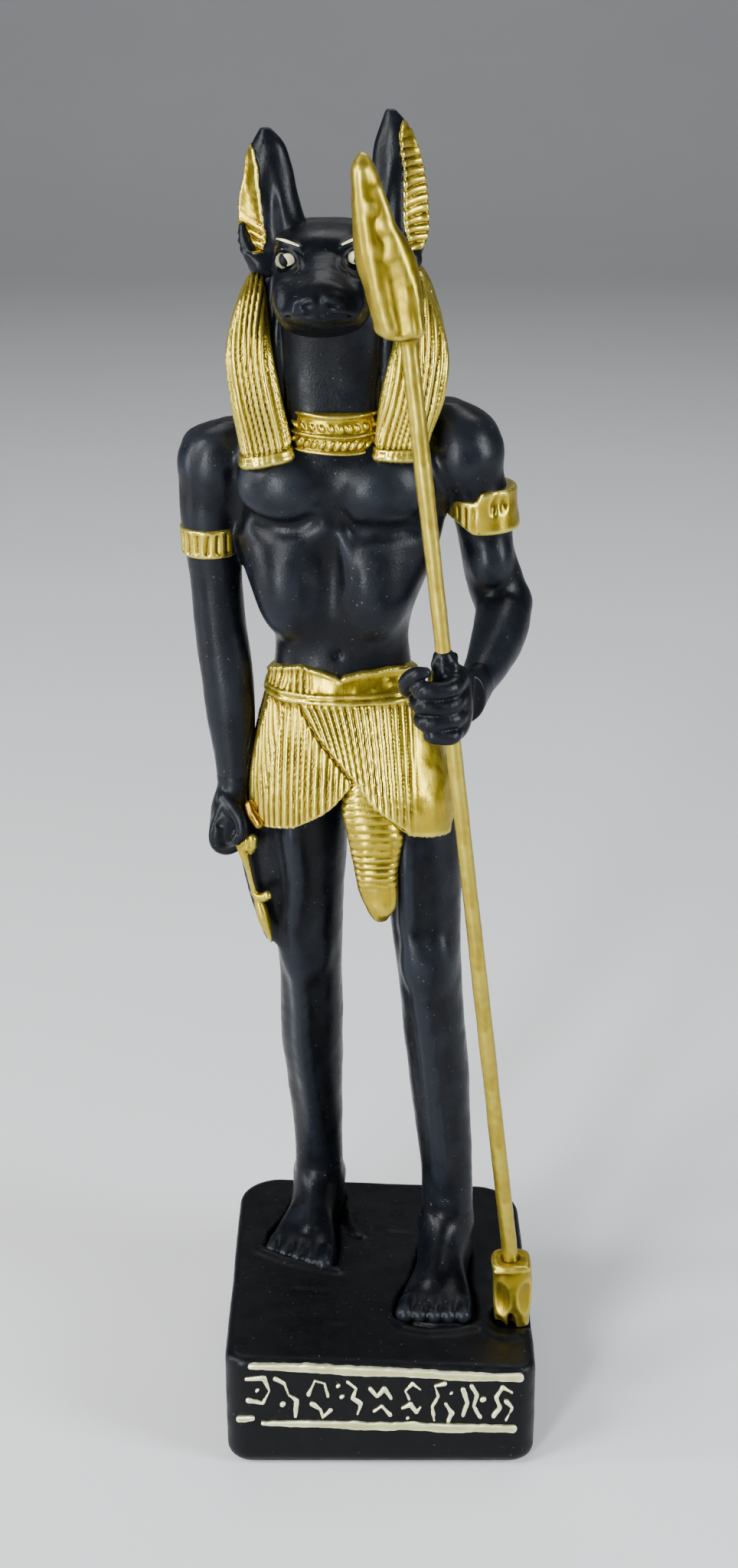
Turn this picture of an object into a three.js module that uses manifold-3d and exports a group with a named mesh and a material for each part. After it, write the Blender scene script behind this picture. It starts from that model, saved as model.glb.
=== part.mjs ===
// Jackal-headed standing figure on an inscribed plinth, with a tall animal-headed staff.
// Millimetres, +Z up. The origin is the middle of the plinth's underside and the figure faces -Y.
import * as THREE from "three";
import { mergeVertices } from "three/addons/utils/BufferGeometryUtils.js";
import Module from "manifold-3d";

const wasm = await Module();
wasm.setup();

// Figure: its places and radii below are written at the first height and scale to the second.
const writtenHeight = 104;
const figureHeight = 104;
const figureScale = figureHeight / writtenHeight;

// Staff
const rodRadius = 0.7;
const staffLean = 0.118;
const staffRecline = 0.024;
const staffHeadHeight = 14.8;
const staffHeadHalfWidth = 2.4;
const staffHeadHalfDepth = 1.45;
const staffForkHeight = 8.3;
const staffForkHalfWidth = 1.85;
const staffForkHalfDepth = 1.8;
// The fork's tip is narrower than its top and stands towards the figure.
const staffTipShare = 0.74;
const staffTipShift = 0.5;
// The rod's axis passes here in the fist: x, y and height above the plinth, as the figure's places.
const gripPoint = [5.9, -9.3, 64.6];
const staffTopAboveGrip = 47;

// Fits between the pieces
const seatDepth = 0.7;
const seatGap = 0.3;
const gripGap = 0.3;

// Plinth: it reaches past the staff's foot at the side and past the striding toes in front.
const plinthSideMargin = 0.61;
const plinthFrontMargin = 4.3;
const stanceHalfWidth = (gripPoint[0] + gripPoint[2] * staffLean) * figureScale - staffTipShift
  + staffForkHalfWidth * staffTipShare;
const stanceHalfDepth = 11.95 * figureScale;
const plinthWidth = 2 * (stanceHalfWidth + plinthSideMargin);
const plinthDepth = 2 * (stanceHalfDepth + plinthFrontMargin);
const plinthHeight = 12;
// The cast top falls from the viewer's left to the right.
const plinthFall = 1.2;
const plinthFrontCorner = 2;
const plinthBackCorner = 4.5;
const plinthFootRound = 1.6;
const plinthFootInset = 1.3;
const plinthTopRound = 0.5;

// Inscription band on the plinth's front
const bandInset = 2.1;
const bandLineHeight = 0.85;
const bandUpperDrop = 0.75;
const bandUpperTilt = -0.056;
const bandSpacing = 6.3;
const bandLowerTilt = -0.031;
const strokeWidth = 0.55;
const reliefProud = 0.3;
const bandUpperHeight = plinthHeight - bandUpperDrop;
const bandLowerHeight = bandUpperHeight - bandSpacing;
const bandLength = plinthWidth - 2 * bandInset;

const black = { color: 0x141418, roughness: 0.38, metalness: 0.0 };
const gold = { color: 0xc2a64e, roughness: 0.36, metalness: 0.75 };

const X = new THREE.Vector3(1, 0, 0);
const Y = new THREE.Vector3(0, 1, 0);
const Z = new THREE.Vector3(0, 0, 1);

const lerp = THREE.MathUtils.lerp;
const clamp = THREE.MathUtils.clamp;
const degrees = THREE.MathUtils.degToRad;

// Height of the plinth's sloping top at a place across it.
function topAt(x) {
  return plinthHeight - (x / plinthWidth) * plinthFall;
}

// A place on the figure, from x, y and height above the plinth.
function place(x, y, h) {
  return new THREE.Vector3(x * figureScale, y * figureScale, plinthHeight + h * figureScale);
}

// Solids from three.js geometry

function solidOf(geometry) {
  const plain = new THREE.BufferGeometry();
  plain.setAttribute("position", geometry.getAttribute("position").clone());
  if (geometry.index) plain.setIndex(geometry.index.clone());
  const merged = mergeVertices(plain, 1e-5);
  const index = Array.from(merged.index.array);
  const kept = [];
  for (let i = 0; i < index.length; i += 3) {
    const [p, q, r] = index.slice(i, i + 3);
    if (p !== q && q !== r && r !== p) kept.push(p, q, r);
  }
  const vertProperties = new Float32Array(merged.getAttribute("position").array);
  return new wasm.Manifold(new wasm.Mesh({ numProp: 3, vertProperties, triVerts: new Uint32Array(kept) }));
}

function joined(solids) {
  return solids.reduce((whole, next) => whole.add(next));
}

function meshOf(name, solid, look) {
  const { vertProperties, triVerts } = solid.getMesh();
  const geometry = new THREE.BufferGeometry();
  geometry.setAttribute("position", new THREE.BufferAttribute(new Float32Array(vertProperties), 3));
  geometry.setIndex(new THREE.BufferAttribute(new Uint32Array(triVerts), 1));
  geometry.computeVertexNormals();
  const mesh = new THREE.Mesh(geometry, new THREE.MeshStandardMaterial(look));
  mesh.name = name;
  return mesh;
}

// Closed skin over rings of equal length, with a fan on each end ring.
function skin(rings) {
  const count = rings[0].length;
  const points = rings.flat();
  const index = [];
  for (let r = 0; r + 1 < rings.length; r++) {
    for (let i = 0; i < count; i++) {
      const a = r * count + i;
      const b = r * count + ((i + 1) % count);
      index.push(a, b, b + count, a, b + count, a + count);
    }
  }
  const capEnd = (ring, offset, flip) => {
    const middle = ring.reduce((sum, p) => sum.add(p), new THREE.Vector3()).divideScalar(count);
    points.push(middle);
    const m = points.length - 1;
    for (let i = 0; i < count; i++) {
      const a = offset + i;
      const b = offset + ((i + 1) % count);
      if (flip) index.push(m, b, a);
      else index.push(m, a, b);
    }
  };
  capEnd(rings[0], 0, true);
  capEnd(rings[rings.length - 1], (rings.length - 1) * count, false);
  const geometry = new THREE.BufferGeometry();
  geometry.setFromPoints(points);
  geometry.setIndex(index);
  return geometry;
}

// A smooth run through the rows of a table, with `steps` rows for each interval.
function eased(rows, steps) {
  const out = [];
  const last = rows.length - 1;
  for (let i = 0; i < last; i++) {
    const p0 = rows[Math.max(i - 1, 0)];
    const p1 = rows[i];
    const p2 = rows[i + 1];
    const p3 = rows[Math.min(i + 2, last)];
    for (let s = 0; s < steps; s++) {
      const t = s / steps;
      out.push(p1.map((v, k) => {
        const bend = 2 * p0[k] - 5 * v + 4 * p2[k] - p3[k];
        const twist = -p0[k] + 3 * v - 3 * p2[k] + p3[k];
        return 0.5 * (2 * v + (p2[k] - p0[k]) * t + bend * t * t + twist * t * t * t);
      }));
    }
  }
  out.push(rows[last]);
  return out;
}

// Points at even distances round a superellipse, each with its outward direction.
function evenOval(a, b, power, count) {
  const fine = 720;
  const at = (i) => {
    const turn = (i / fine) * Math.PI * 2;
    const c = Math.cos(turn);
    const s = Math.sin(turn);
    return new THREE.Vector2(
      a * Math.sign(c) * Math.abs(c) ** (2 / power),
      b * Math.sign(s) * Math.abs(s) ** (2 / power),
    );
  };
  const dense = Array.from({ length: fine }, (_, i) => at(i));
  const run = [0];
  for (let i = 0; i < fine; i++) run.push(run[i] + dense[i].distanceTo(dense[(i + 1) % fine]));
  const places = [];
  let j = 0;
  for (let i = 0; i < count; i++) {
    const goal = (run[fine] * i) / count;
    while (run[j + 1] < goal) j++;
    const t = (goal - run[j]) / (run[j + 1] - run[j]);
    const from = dense[j % fine];
    const to = dense[(j + 1) % fine];
    const point = from.clone().lerp(to, t);
    places.push({ point, out: new THREE.Vector2(to.y - from.y, from.x - to.x).normalize() });
  }
  return places;
}

// A body form swept through stations [x, y, h, a, b, turn] of oval sections. `side` and `depth` are
// the directions of a and b, `turn` is degrees in that plane, and `carve` gives the relief outward.
function form(stations, options = {}) {
  const { side = X, depth = Y, count = 12, power = 2.2, steps = 1, carve = null } = options;
  const rows = eased(stations, steps);
  const rings = rows.map(([x, y, h, a, b, turn = 0], row) => {
    const middle = place(x, y, h);
    const cos = Math.cos(degrees(turn));
    const sin = Math.sin(degrees(turn));
    return evenOval(a, b, power, count).map(({ point, out }, i) => {
      const relief = carve ? carve(i, row, rows.length, point) : 0;
      const u = point.x + out.x * relief;
      const v = point.y + out.y * relief;
      return middle.clone()
        .addScaledVector(side, (u * cos - v * sin) * figureScale)
        .addScaledVector(depth, (u * sin + v * cos) * figureScale);
    });
  });
  const outward = new THREE.Vector3().crossVectors(side, depth);
  const first = place(...stations[0]);
  const last = place(...stations[stations.length - 1]);
  if (outward.dot(last.sub(first)) < 0) rings.reverse();
  return solidOf(skin(rings));
}

// An ellipsoid with half sizes along X, Y and Z, turned about Z.
function lump(x, y, h, rx, ry, rz, turn, detail) {
  const ball = new THREE.SphereGeometry(1, detail * 2, detail);
  ball.rotateX(Math.PI / 2);
  ball.scale(rx * figureScale, ry * figureScale, rz * figureScale);
  ball.rotateZ(degrees(turn));
  const middle = place(x, y, h);
  ball.translate(middle.x, middle.y, middle.z);
  return solidOf(ball);
}

// A tapering limb between two places, with rounded ends.
function limb(from, to, radiusFrom, radiusTo, count = 5) {
  const start = place(...from);
  const end = place(...to);
  const along = end.clone().sub(start);
  const length = along.length();
  along.normalize();
  const side = new THREE.Vector3().crossVectors(Math.abs(along.z) > 0.9 ? X : Z, along).normalize();
  const depth = new THREE.Vector3().crossVectors(along, side);
  const r0 = radiusFrom * figureScale;
  const r1 = radiusTo * figureScale;
  const rounds = [[0.8, 0.55], [0, 1]];
  const steps = [
    ...rounds.map(([back, share]) => [-back * r0, share * r0]),
    ...rounds.map(([back, share]) => [length + back * r1, share * r1]).reverse(),
  ];
  const rings = steps.map(([t, r]) => Array.from({ length: count }, (_, i) => {
    const turn = (i / count) * Math.PI * 2;
    return start.clone()
      .addScaledVector(along, t)
      .addScaledVector(side, Math.cos(turn) * r)
      .addScaledVector(depth, Math.sin(turn) * r);
  }));
  return solidOf(skin(rings));
}

// Flutes for a form: every second point of a ring sinks.
function fluted(deep) {
  return (i) => (i % 2 ? -deep : 0);
}

// Figure: torso, limbs and head

function torso() {
  const trunk = form([
    [-3.2, 5.6, 55, 7.4, 5.6],
    [-3.6, 6.0, 63, 6.5, 4.7],
    [-3.7, 5.8, 66.6, 6.25, 4.3],
    [-4.0, 5.6, 69.8, 7.2, 4.6],
    [-4.0, 5.4, 73, 8.5, 5.0],
    [-3.9, 5.3, 77, 9.6, 5.2],
    [-3.9, 5.4, 81, 10.2, 5.2],
    [-3.9, 5.7, 84.4, 10.0, 4.6],
    [-4.0, 6.1, 86.8, 8.2, 3.9],
    [-4.2, 6.4, 88.4, 5.4, 3.4],
  ], { count: 16, power: 2.4 });
  const pecs = [[-8.5, 2.7, -8], [-0.2, 2.2, 8]].map(([x, y, turn]) => (
    lump(x, y, 81.2, 4.5, 2.5, 3.6, turn, 5)
  ));
  const columns = [-6.2, -2.0].map((x) => lump(x, 2.1, 73.4, 2.0, 1.9, 5.4, 0, 4));
  const neck = form([
    [-4.2, 5.6, 83, 4.9, 4.4],
    [-4.6, 5.2, 88, 4.5, 4.3],
    [-4.8, 5.2, 92, 4.5, 4.3],
    [-4.9, 4.8, 98, 4.4, 4.4],
  ], { power: 3.2 });
  return [trunk, ...pecs, ...columns, neck];
}

function hangingArm() {
  const arm = form([
    [-13.2, 6.4, 86.6, 1.2, 1.3],
    [-14.2, 6.4, 85.8, 2.6, 2.5],
    [-15.2, 6.3, 84.0, 3.1, 3.2],
    [-15.6, 6.2, 81, 2.9, 3.3],
    [-15.8, 6.1, 76, 2.5, 2.9],
    [-15.4, 6.2, 72, 2.4, 2.7],
    [-15.1, 6.3, 67.6, 2.4, 2.7],
    [-14.6, 6.0, 63, 2.5, 2.6],
    [-14.2, 5.6, 58, 2.25, 2.3],
    [-14.0, 5.2, 53.6, 1.8, 1.9],
    [-14.0, 4.9, 50.4, 1.6, 1.7],
    [-14.2, 4.7, 48, 1.8, 1.9],
  ], { count: 10 });
  const palm = lump(-14.3, 4.9, 46.9, 1.9, 2.2, 2.4, 0, 4);
  const fingers = [0, 1, 2, 3].map((i) => {
    const h = 46.4 - i * 0.1;
    const y = 2.9 + i * 1.15;
    return limb([-15.5, y, h], [-13.2, y - 0.2, h - 0.9], 0.75, 0.7);
  });
  const thumb = limb([-13.2, 4.0, 48.8], [-13.3, 2.6, 46.8], 0.8, 0.65);
  return [arm, palm, ...fingers, thumb];
}

function bentArm() {
  const upper = form([
    [5.6, 5.9, 88.4, 1.3, 1.4],
    [6.6, 5.9, 87.3, 2.6, 2.6],
    [7.6, 5.8, 85, 3.3, 3.4],
    [8.1, 5.8, 81.6, 3.1, 3.4],
    [9.0, 5.8, 79, 2.85, 3.1],
    [9.7, 6.0, 75, 2.5, 2.8],
    [10.6, 6.4, 71.4, 2.75, 2.7],
    [11.3, 6.7, 69, 2.6, 2.3],
    [11.4, 6.6, 67.4, 1.5, 1.4],
  ], { count: 10 });
  const forearm = form([
    [11.6, 7.2, 69.0, 1.9, 2.0],
    [11.4, 5.2, 68.6, 2.5, 2.6],
    [10.8, 2.0, 67.6, 2.5, 2.6],
    [9.6, -2.0, 66.2, 2.0, 2.2],
    [8.4, -5.0, 65.2, 1.6, 1.9],
    [7.4, -7.4, 64.6, 1.7, 2.3],
  ], { side: X, depth: Z, count: 10 });
  const palm = lump(6.0, -9.0, 64.6, 2.1, 2.3, 3.5, 12, 4);
  const rows = [67.0, 65.5, 64.1, 62.6];
  const fingers = rows.map((h, i) => {
    const x = 3.2 + i * 0.3;
    return limb([x + 2.9, -11.1, h - 0.1], [x, -10.4, h], 0.85, 0.8);
  });
  const thumb = limb([2.6, -9.6, 66.2], [3.9, -11.3, 68.2], 0.85, 0.75);
  return [upper, forearm, palm, ...fingers, thumb];
}

function legs() {
  const right = form([
    [-6.6, 6.4, 55, 4.4, 4.8],
    [-7.3, 6.6, 48, 4.2, 4.8],
    [-7.45, 6.9, 42.8, 4.05, 4.5],
    [-7.2, 7.2, 36.5, 3.5, 4.0],
    [-7.0, 7.3, 31.6, 3.1, 3.7],
    [-6.95, 8.2, 27, 3.15, 3.6],
    [-6.95, 9.1, 22.5, 3.15, 3.7],
    [-6.7, 10.0, 16, 2.8, 3.1],
    [-6.45, 10.9, 9, 2.5, 2.5],
    [-6.4, 11.3, 4, 2.5, 2.7],
    [-6.4, 11.4, 1.2, 2.4, 2.8],
  ]);
  const left = form([
    [2.4, 4.4, 55, 4.3, 4.8],
    [3.5, 3.8, 48, 4.1, 4.8],
    [4.0, 3.3, 43.8, 3.85, 4.5],
    [4.45, 2.4, 37.5, 3.35, 3.9],
    [4.8, 2.1, 32.6, 3.1, 3.6],
    [5.2, 2.7, 28, 3.05, 3.6],
    [5.7, 3.3, 23, 3.05, 3.7],
    [6.3, 3.2, 16, 2.85, 3.2],
    [6.8, 2.7, 10, 2.6, 2.6],
    [6.9, 2.4, 4.6, 2.6, 2.7],
    [6.9, 2.4, 1.2, 2.4, 2.8],
  ]);
  return [right, left];
}

// A bare foot from the middle of its heel. `grow` widens it all round, for the seat in the plinth.
function foot(x, y, turn, slant, mirror, grow = 0) {
  const along = new THREE.Vector3(-Math.sin(degrees(turn)), -Math.cos(degrees(turn)), 0);
  const side = new THREE.Vector3(Math.cos(degrees(turn)), -Math.sin(degrees(turn)), 0);
  const profile = [
    [-0.2, 1.1, 1.6],
    [0.4, 2.0, 3.4],
    [3.5, 2.45, 5.6],
    [7, 2.7, 4.6],
    [10, 3.45, 2.9],
    [12.4, 3.75, 2.0],
    [13.6, 3.5, 1.6],
  ];
  const rings = profile.map(([t, half, high], row, all) => {
    const lean = (row / (all.length - 1)) * slant;
    const reach = row === 0 ? -grow : (grow * row) / (all.length - 1);
    return evenOval(half + grow, high + grow, 2.3, 10).map(({ point }) => {
      const run = t + reach + point.x * mirror * lean;
      return place(x, y, -seatDepth)
        .addScaledVector(along, run * figureScale)
        .addScaledVector(side, point.x * figureScale)
        .addScaledVector(Z, point.y * figureScale);
    });
  });
  const toeSpacing = 1.42;
  const toeRadius = 0.82;
  const bigToeRadius = 1.02;
  const toeRise = 1.15;
  const toes = [-2, -1, 0, 1, 2].map((i) => {
    const across = i * toeSpacing;
    const radius = (mirror * i === 2 ? bigToeRadius : toeRadius) + grow;
    const root = 13.2 + across * mirror * slant - Math.abs(i - mirror * 0.7) * 0.12;
    const at = (run) => [
      x + along.x * run + side.x * across,
      y + along.y * run + side.y * across,
      toeRise - seatDepth,
    ];
    return limb(at(root - 1.5), at(root + 1.05), radius, radius * 0.93);
  });
  return [solidOf(skin(rings)), ...toes];
}

const rightFoot = (grow) => foot(-6.0, 15.0, 10, 0.26, 1, grow);
const leftFoot = (grow) => foot(7.0, 5.2, 7, 0.04, -1, grow);

function head() {
  const skull = form([
    [-4.6, 10.6, 98.6, 4.0, 4.0],
    [-4.8, 8.0, 99.4, 4.6, 4.6],
    [-4.9, 4.0, 99.9, 4.5, 4.4],
    [-5.0, 1.0, 99.8, 4.4, 4.3],
    [-5.1, -0.8, 99.3, 4.1, 3.7],
    [-5.1, -2.6, 98.8, 3.75, 3.0],
    [-5.1, -4.8, 98.4, 3.6, 2.6],
    [-5.1, -6.2, 98.2, 3.3, 2.2],
    [-5.1, -6.8, 98.1, 2.2, 1.4],
  ], { side: X, depth: Z, count: 16, power: 3 });
  const nose = lump(-5.1, -6.4, 99.6, 1.4, 0.8, 0.7, 0, 4);
  const eyes = [-8.1, -2.1].map((x) => lump(x, -0.1, 101.3, 1.0, 0.8, 0.85, 0, 4));
  const brows = [-1, 1].map((way) => limb(
    [-5.1 + way * 1.7, -1.0, 102.8],
    [-5.1 + way * 3.9, -0.1, 103.3],
    0.42, 0.32,
  ));
  return [skull, nose, ...eyes, ...brows];
}

// A cupped upright ear. Its cup opens outward and forward, and the cup's floor is ribbed.
function ear(rows, faceTurn) {
  const shell = form(rows, { count: 10, power: 2 });
  const cupShift = 2.5;
  const cupRise = 0.4;
  const cupWidthShare = 0.55;
  const cupDepthShare = 0.84;
  const ribDepth = 0.36;
  const shiftX = Math.cos(degrees(faceTurn)) * cupShift;
  const shiftY = Math.sin(degrees(faceTurn)) * cupShift;
  const inner = rows.slice(1, -1).map(([x, y, h, a, b]) => [
    x + shiftX, y + shiftY, h + cupRise, a * cupWidthShare, b * cupDepthShare,
  ]);
  const cup = form(inner, {
    count: 8,
    power: 2,
    steps: 2,
    carve: (i, row) => (row % 2 ? -ribDepth / 2 : ribDepth / 2),
  });
  return shell.subtract(cup);
}

function ears() {
  const left = ear([
    [-9.8, 5.0, 100.6, 1.4, 1.0],
    [-9.9, 4.9, 102.2, 2.4, 1.6],
    [-9.7, 4.9, 104.2, 2.75, 1.8],
    [-9.8, 4.9, 106.8, 2.45, 1.6],
    [-9.8, 4.9, 109.2, 1.95, 1.3],
    [-9.8, 4.9, 111, 1.2, 0.9],
    [-10.0, 4.9, 112, 0.4, 0.35],
  ], 211);
  const right = ear([
    [1.6, 5.0, 101.2, 1.4, 1.0],
    [1.6, 4.9, 102.8, 2.3, 1.6],
    [1.5, 4.9, 105.4, 2.5, 1.8],
    [1.4, 4.9, 108.2, 2.3, 1.6],
    [1.2, 4.9, 110.6, 1.9, 1.3],
    [1.0, 4.9, 112.4, 1.1, 0.9],
    [0.7, 4.9, 113.5, 0.4, 0.35],
  ], -30);
  return [left, right];
}

// Wig: the mass behind the head, and a lappet down each side of the chest.
function wig() {
  const mass = form([
    [-4.4, 6.8, 103.4, 3.0, 2.4],
    [-3.9, 6.8, 100.4, 7.0, 4.8],
    [-3.7, 6.7, 97, 8.6, 5.2],
    [-3.8, 6.6, 93.6, 9.4, 5.1],
    [-3.9, 7.3, 86, 8.2, 4.4],
    [-4.0, 8.0, 82.6, 7.4, 3.6],
  ], { count: 36, power: 2.5, carve: fluted(0.35) });
  const lappets = [
    [
      [-10.9, 4.2, 100.6, 0.9, 2.4],
      [-11.3, 3.6, 97.2, 1.5, 3.0],
      [-11.5, 2.6, 93.8, 2.0, 3.0],
      [-11.0, 2.1, 89.6, 2.25, 3.0],
      [-10.0, 1.5, 83.4, 2.3, 2.2],
    ],
    [
      [3.2, 4.2, 100.6, 0.9, 2.4],
      [3.4, 3.6, 97.2, 1.7, 3.0],
      [3.3, 2.6, 93.8, 2.45, 3.0],
      [2.7, 2.1, 89.6, 2.75, 3.0],
      [1.4, 1.5, 83.6, 2.35, 2.2],
    ],
  ].map((rows) => form(rows, { count: 20, power: 3.2, carve: fluted(0.25) }));
  const ends = [[-10.0, 83.5], [1.4, 83.7]].map(([x, h]) => form([
    [x, 1.0, h - 0.7, 2.45, 1.8],
    [x, 1.0, h + 0.7, 2.45, 1.85],
  ], { power: 3.2 }));
  return [mass, ...lappets, ...ends];
}

// Collar between the lappets: a curved band with two rows of petals and a ridge between them.
function collar() {
  const band = form([
    [-4.2, 4.3, 84.2, 4.6, 4.3],
    [-4.2, 4.3, 84.7, 4.75, 4.5],
    [-4.2, 4.4, 85.9, 4.7, 4.3],
    [-4.2, 4.4, 86.1, 4.8, 4.5],
    [-4.2, 4.5, 87.3, 4.6, 4.3],
    [-4.2, 4.6, 87.8, 4.5, 4.4],
  ], { count: 22, carve: (i, row) => (row % 2 || i % 2 ? 0 : -0.2) });
  return [band];
}

function armlets() {
  const lean = (x, y, h, a, b, tall, rise) => form([
    [x, y, h - tall / 2, a, b],
    [x + rise, y, h + tall / 2, a + 0.05, b],
  ], { count: 16, carve: fluted(0.12) });
  return [
    lean(-15.85, 6.1, 75.0, 2.7, 3.1, 2.4, 0.0),
    lean(9.4, 5.9, 77.9, 3.05, 3.35, 3.5, -0.5),
  ];
}

// Height of the kilt's hem above the plinth: it rises in front to where the wrap parts.
function hemAt(x, y) {
  const hemHeight = 48.8;
  const hemSlope = -0.04;
  const partedAt = -2.5;
  const rise = x < partedAt ? 4.6 : 3.8;
  const reach = x < partedAt ? 2.6 : 2.2;
  const front = clamp((2.5 - y) / 2, 0, 1);
  const arch = Math.exp(-(((x - partedAt) / reach) ** 2));
  return hemHeight + hemSlope * (x - partedAt) + front * rise * arch;
}

// A pleated skirt from `top` down to the hem, through rows [x, y, a, b, turn] of oval sections.
function wrap(rows, top, pleats, deep) {
  const rings = rows.map(([x, y, a, b, turn], row) => {
    const share = row / (rows.length - 1);
    const cos = Math.cos(degrees(turn));
    const sin = Math.sin(degrees(turn));
    return evenOval(a, b, 2.4, pleats * 2).map(({ point, out }, i) => {
      const relief = i % 2 ? -deep : 0;
      const u = point.x + out.x * relief;
      const v = point.y + out.y * relief;
      const px = x + u * cos - v * sin;
      const py = y + u * sin + v * cos;
      return place(px, py, lerp(top, hemAt(px, py), share));
    });
  });
  return solidOf(skin(rings.reverse()));
}

// Kilt: belt, pleated wrap with a parted front edge, and the ribbed apron tab.
function kilt() {
  const belt = form([
    [-3.4, 5.8, 60.6, 7.3, 5.5],
    [-3.5, 5.8, 61.2, 7.5, 5.7],
    [-3.6, 5.9, 61.5, 7.2, 5.4],
    [-3.7, 5.9, 63.7, 6.9, 5.1],
  ], { count: 26, power: 2.4, carve: (i, row) => (row > 1 && i % 2 ? -0.15 : 0) });
  const skirt = wrap([
    [-3.4, 5.8, 7.2, 5.4, 0],
    [-3.15, 5.4, 8.6, 6.4, -4],
    [-2.85, 5.0, 9.65, 7.2, -8],
    [-2.65, 4.8, 9.9, 7.4, -10],
  ], 61.2, 40, 0.35);
  const edge = [[-8.1, 0.3, 61.4], [-2.5, -1.9, 53.2], [2.8, -2.8, 49.4]];
  const fold = edge.slice(1).map((to, i) => limb(edge[i], to, 0.35, 0.35));
  const tab = form([
    [-2.3, -1.0, 53.6, 0.8, 1.2],
    [-1.6, -1.5, 51.8, 2.6, 1.5],
    [-1.0, -1.7, 49.4, 2.8, 1.5],
    [-0.75, -1.7, 46.4, 2.25, 1.4],
    [-0.45, -1.7, 43.3, 1.65, 1.2],
    [-0.15, -1.7, 41.2, 1.0, 0.9],
    [-0.05, -1.7, 40.4, 0.4, 0.5],
  ], { count: 10, steps: 2, carve: (i, row) => (row % 2 ? -0.2 : 0) });
  return [belt, skirt, ...fold, tab];
}

// Ankh held at the side, edge towards the viewer, with the thin web that ties it to the thigh.
function ankh() {
  const loop = [
    limb([-13.5, 3.6, 46.8], [-12.0, 2.6, 46.8], 0.55, 0.6),
    limb([-12.0, 2.6, 46.8], [-12.3, 2.4, 44.2], 0.6, 0.6),
  ];
  const stem = limb([-13.5, 3.4, 46.6], [-11.7, 2.6, 41.0], 0.5, 0.4);
  const bar = limb([-12.0, 3.4, 41.2], [-10.8, 1.5, 40.6], 0.42, 0.5);
  const tail = form([
    [-11.5, 2.5, 41.0, 0.4, 0.5],
    [-11.0, 2.5, 38.0, 0.6, 1.1],
    [-10.6, 2.4, 35.6, 0.2, 0.5],
  ], { count: 6 });
  const web = form([
    [-11.6, 4.4, 47.8, 1.9, 0.6],
    [-10.8, 4.2, 40, 1.3, 0.6],
    [-10.2, 4.4, 35.4, 0.9, 0.5],
  ], { count: 6, power: 3 });
  return [...loop, stem, bar, tail, web];
}

// Everything below the sloping plane at `drop` above the plinth's top.
function ground(drop) {
  const reach = plinthWidth * 6;
  const slab = new THREE.BoxGeometry(reach, reach, plinthHeight * 4);
  slab.translate(0, 0, -plinthHeight * 2);
  slab.rotateY(Math.atan2(plinthFall, plinthWidth));
  slab.translate(0, 0, plinthHeight + drop);
  return solidOf(slab);
}

// Staff: the rod's axis leans across the figure and slightly back towards its foot.
function staffPoint(rise, across = 0, back = 0) {
  const grip = place(...gripPoint);
  return new THREE.Vector3(
    grip.x - rise * staffLean + across,
    grip.y - rise * staffRecline + back,
    grip.z + rise,
  );
}

function staffForm(rows, count, power = 2.2, steps = 2) {
  const rings = eased(rows, steps).map(([rise, across, a, b]) => (
    evenOval(a, b, power, count).map(({ point }) => staffPoint(rise, across + point.x, point.y))
  ));
  return solidOf(skin(rings));
}

const gripHeight = place(...gripPoint).z;
const staffFootX = gripPoint[0] * figureScale + (gripHeight - plinthHeight) * staffLean;
const staffBottom = topAt(staffFootX) - seatDepth + seatGap - gripHeight;

function staffFork(grow = 0) {
  const w = staffForkHalfWidth + grow;
  const d = staffForkHalfDepth + grow;
  const tip = w * staffTipShare;
  return staffForm([
    [staffBottom - seatDepth, -staffTipShift, tip, d * 0.86],
    [staffBottom + staffForkHeight * 0.1, -staffTipShift, tip, d * 0.88],
    [staffBottom + staffForkHeight * 0.35, -staffTipShift * 0.6, lerp(tip, w, 0.6), d * 0.96],
    [staffBottom + staffForkHeight * 0.65, 0, w, d],
    [staffBottom + staffForkHeight * 0.92, 0, w, d],
    [staffBottom + staffForkHeight, 0, w * 0.82, d * 0.8],
  ], 14, 2.8, 1);
}

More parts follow.
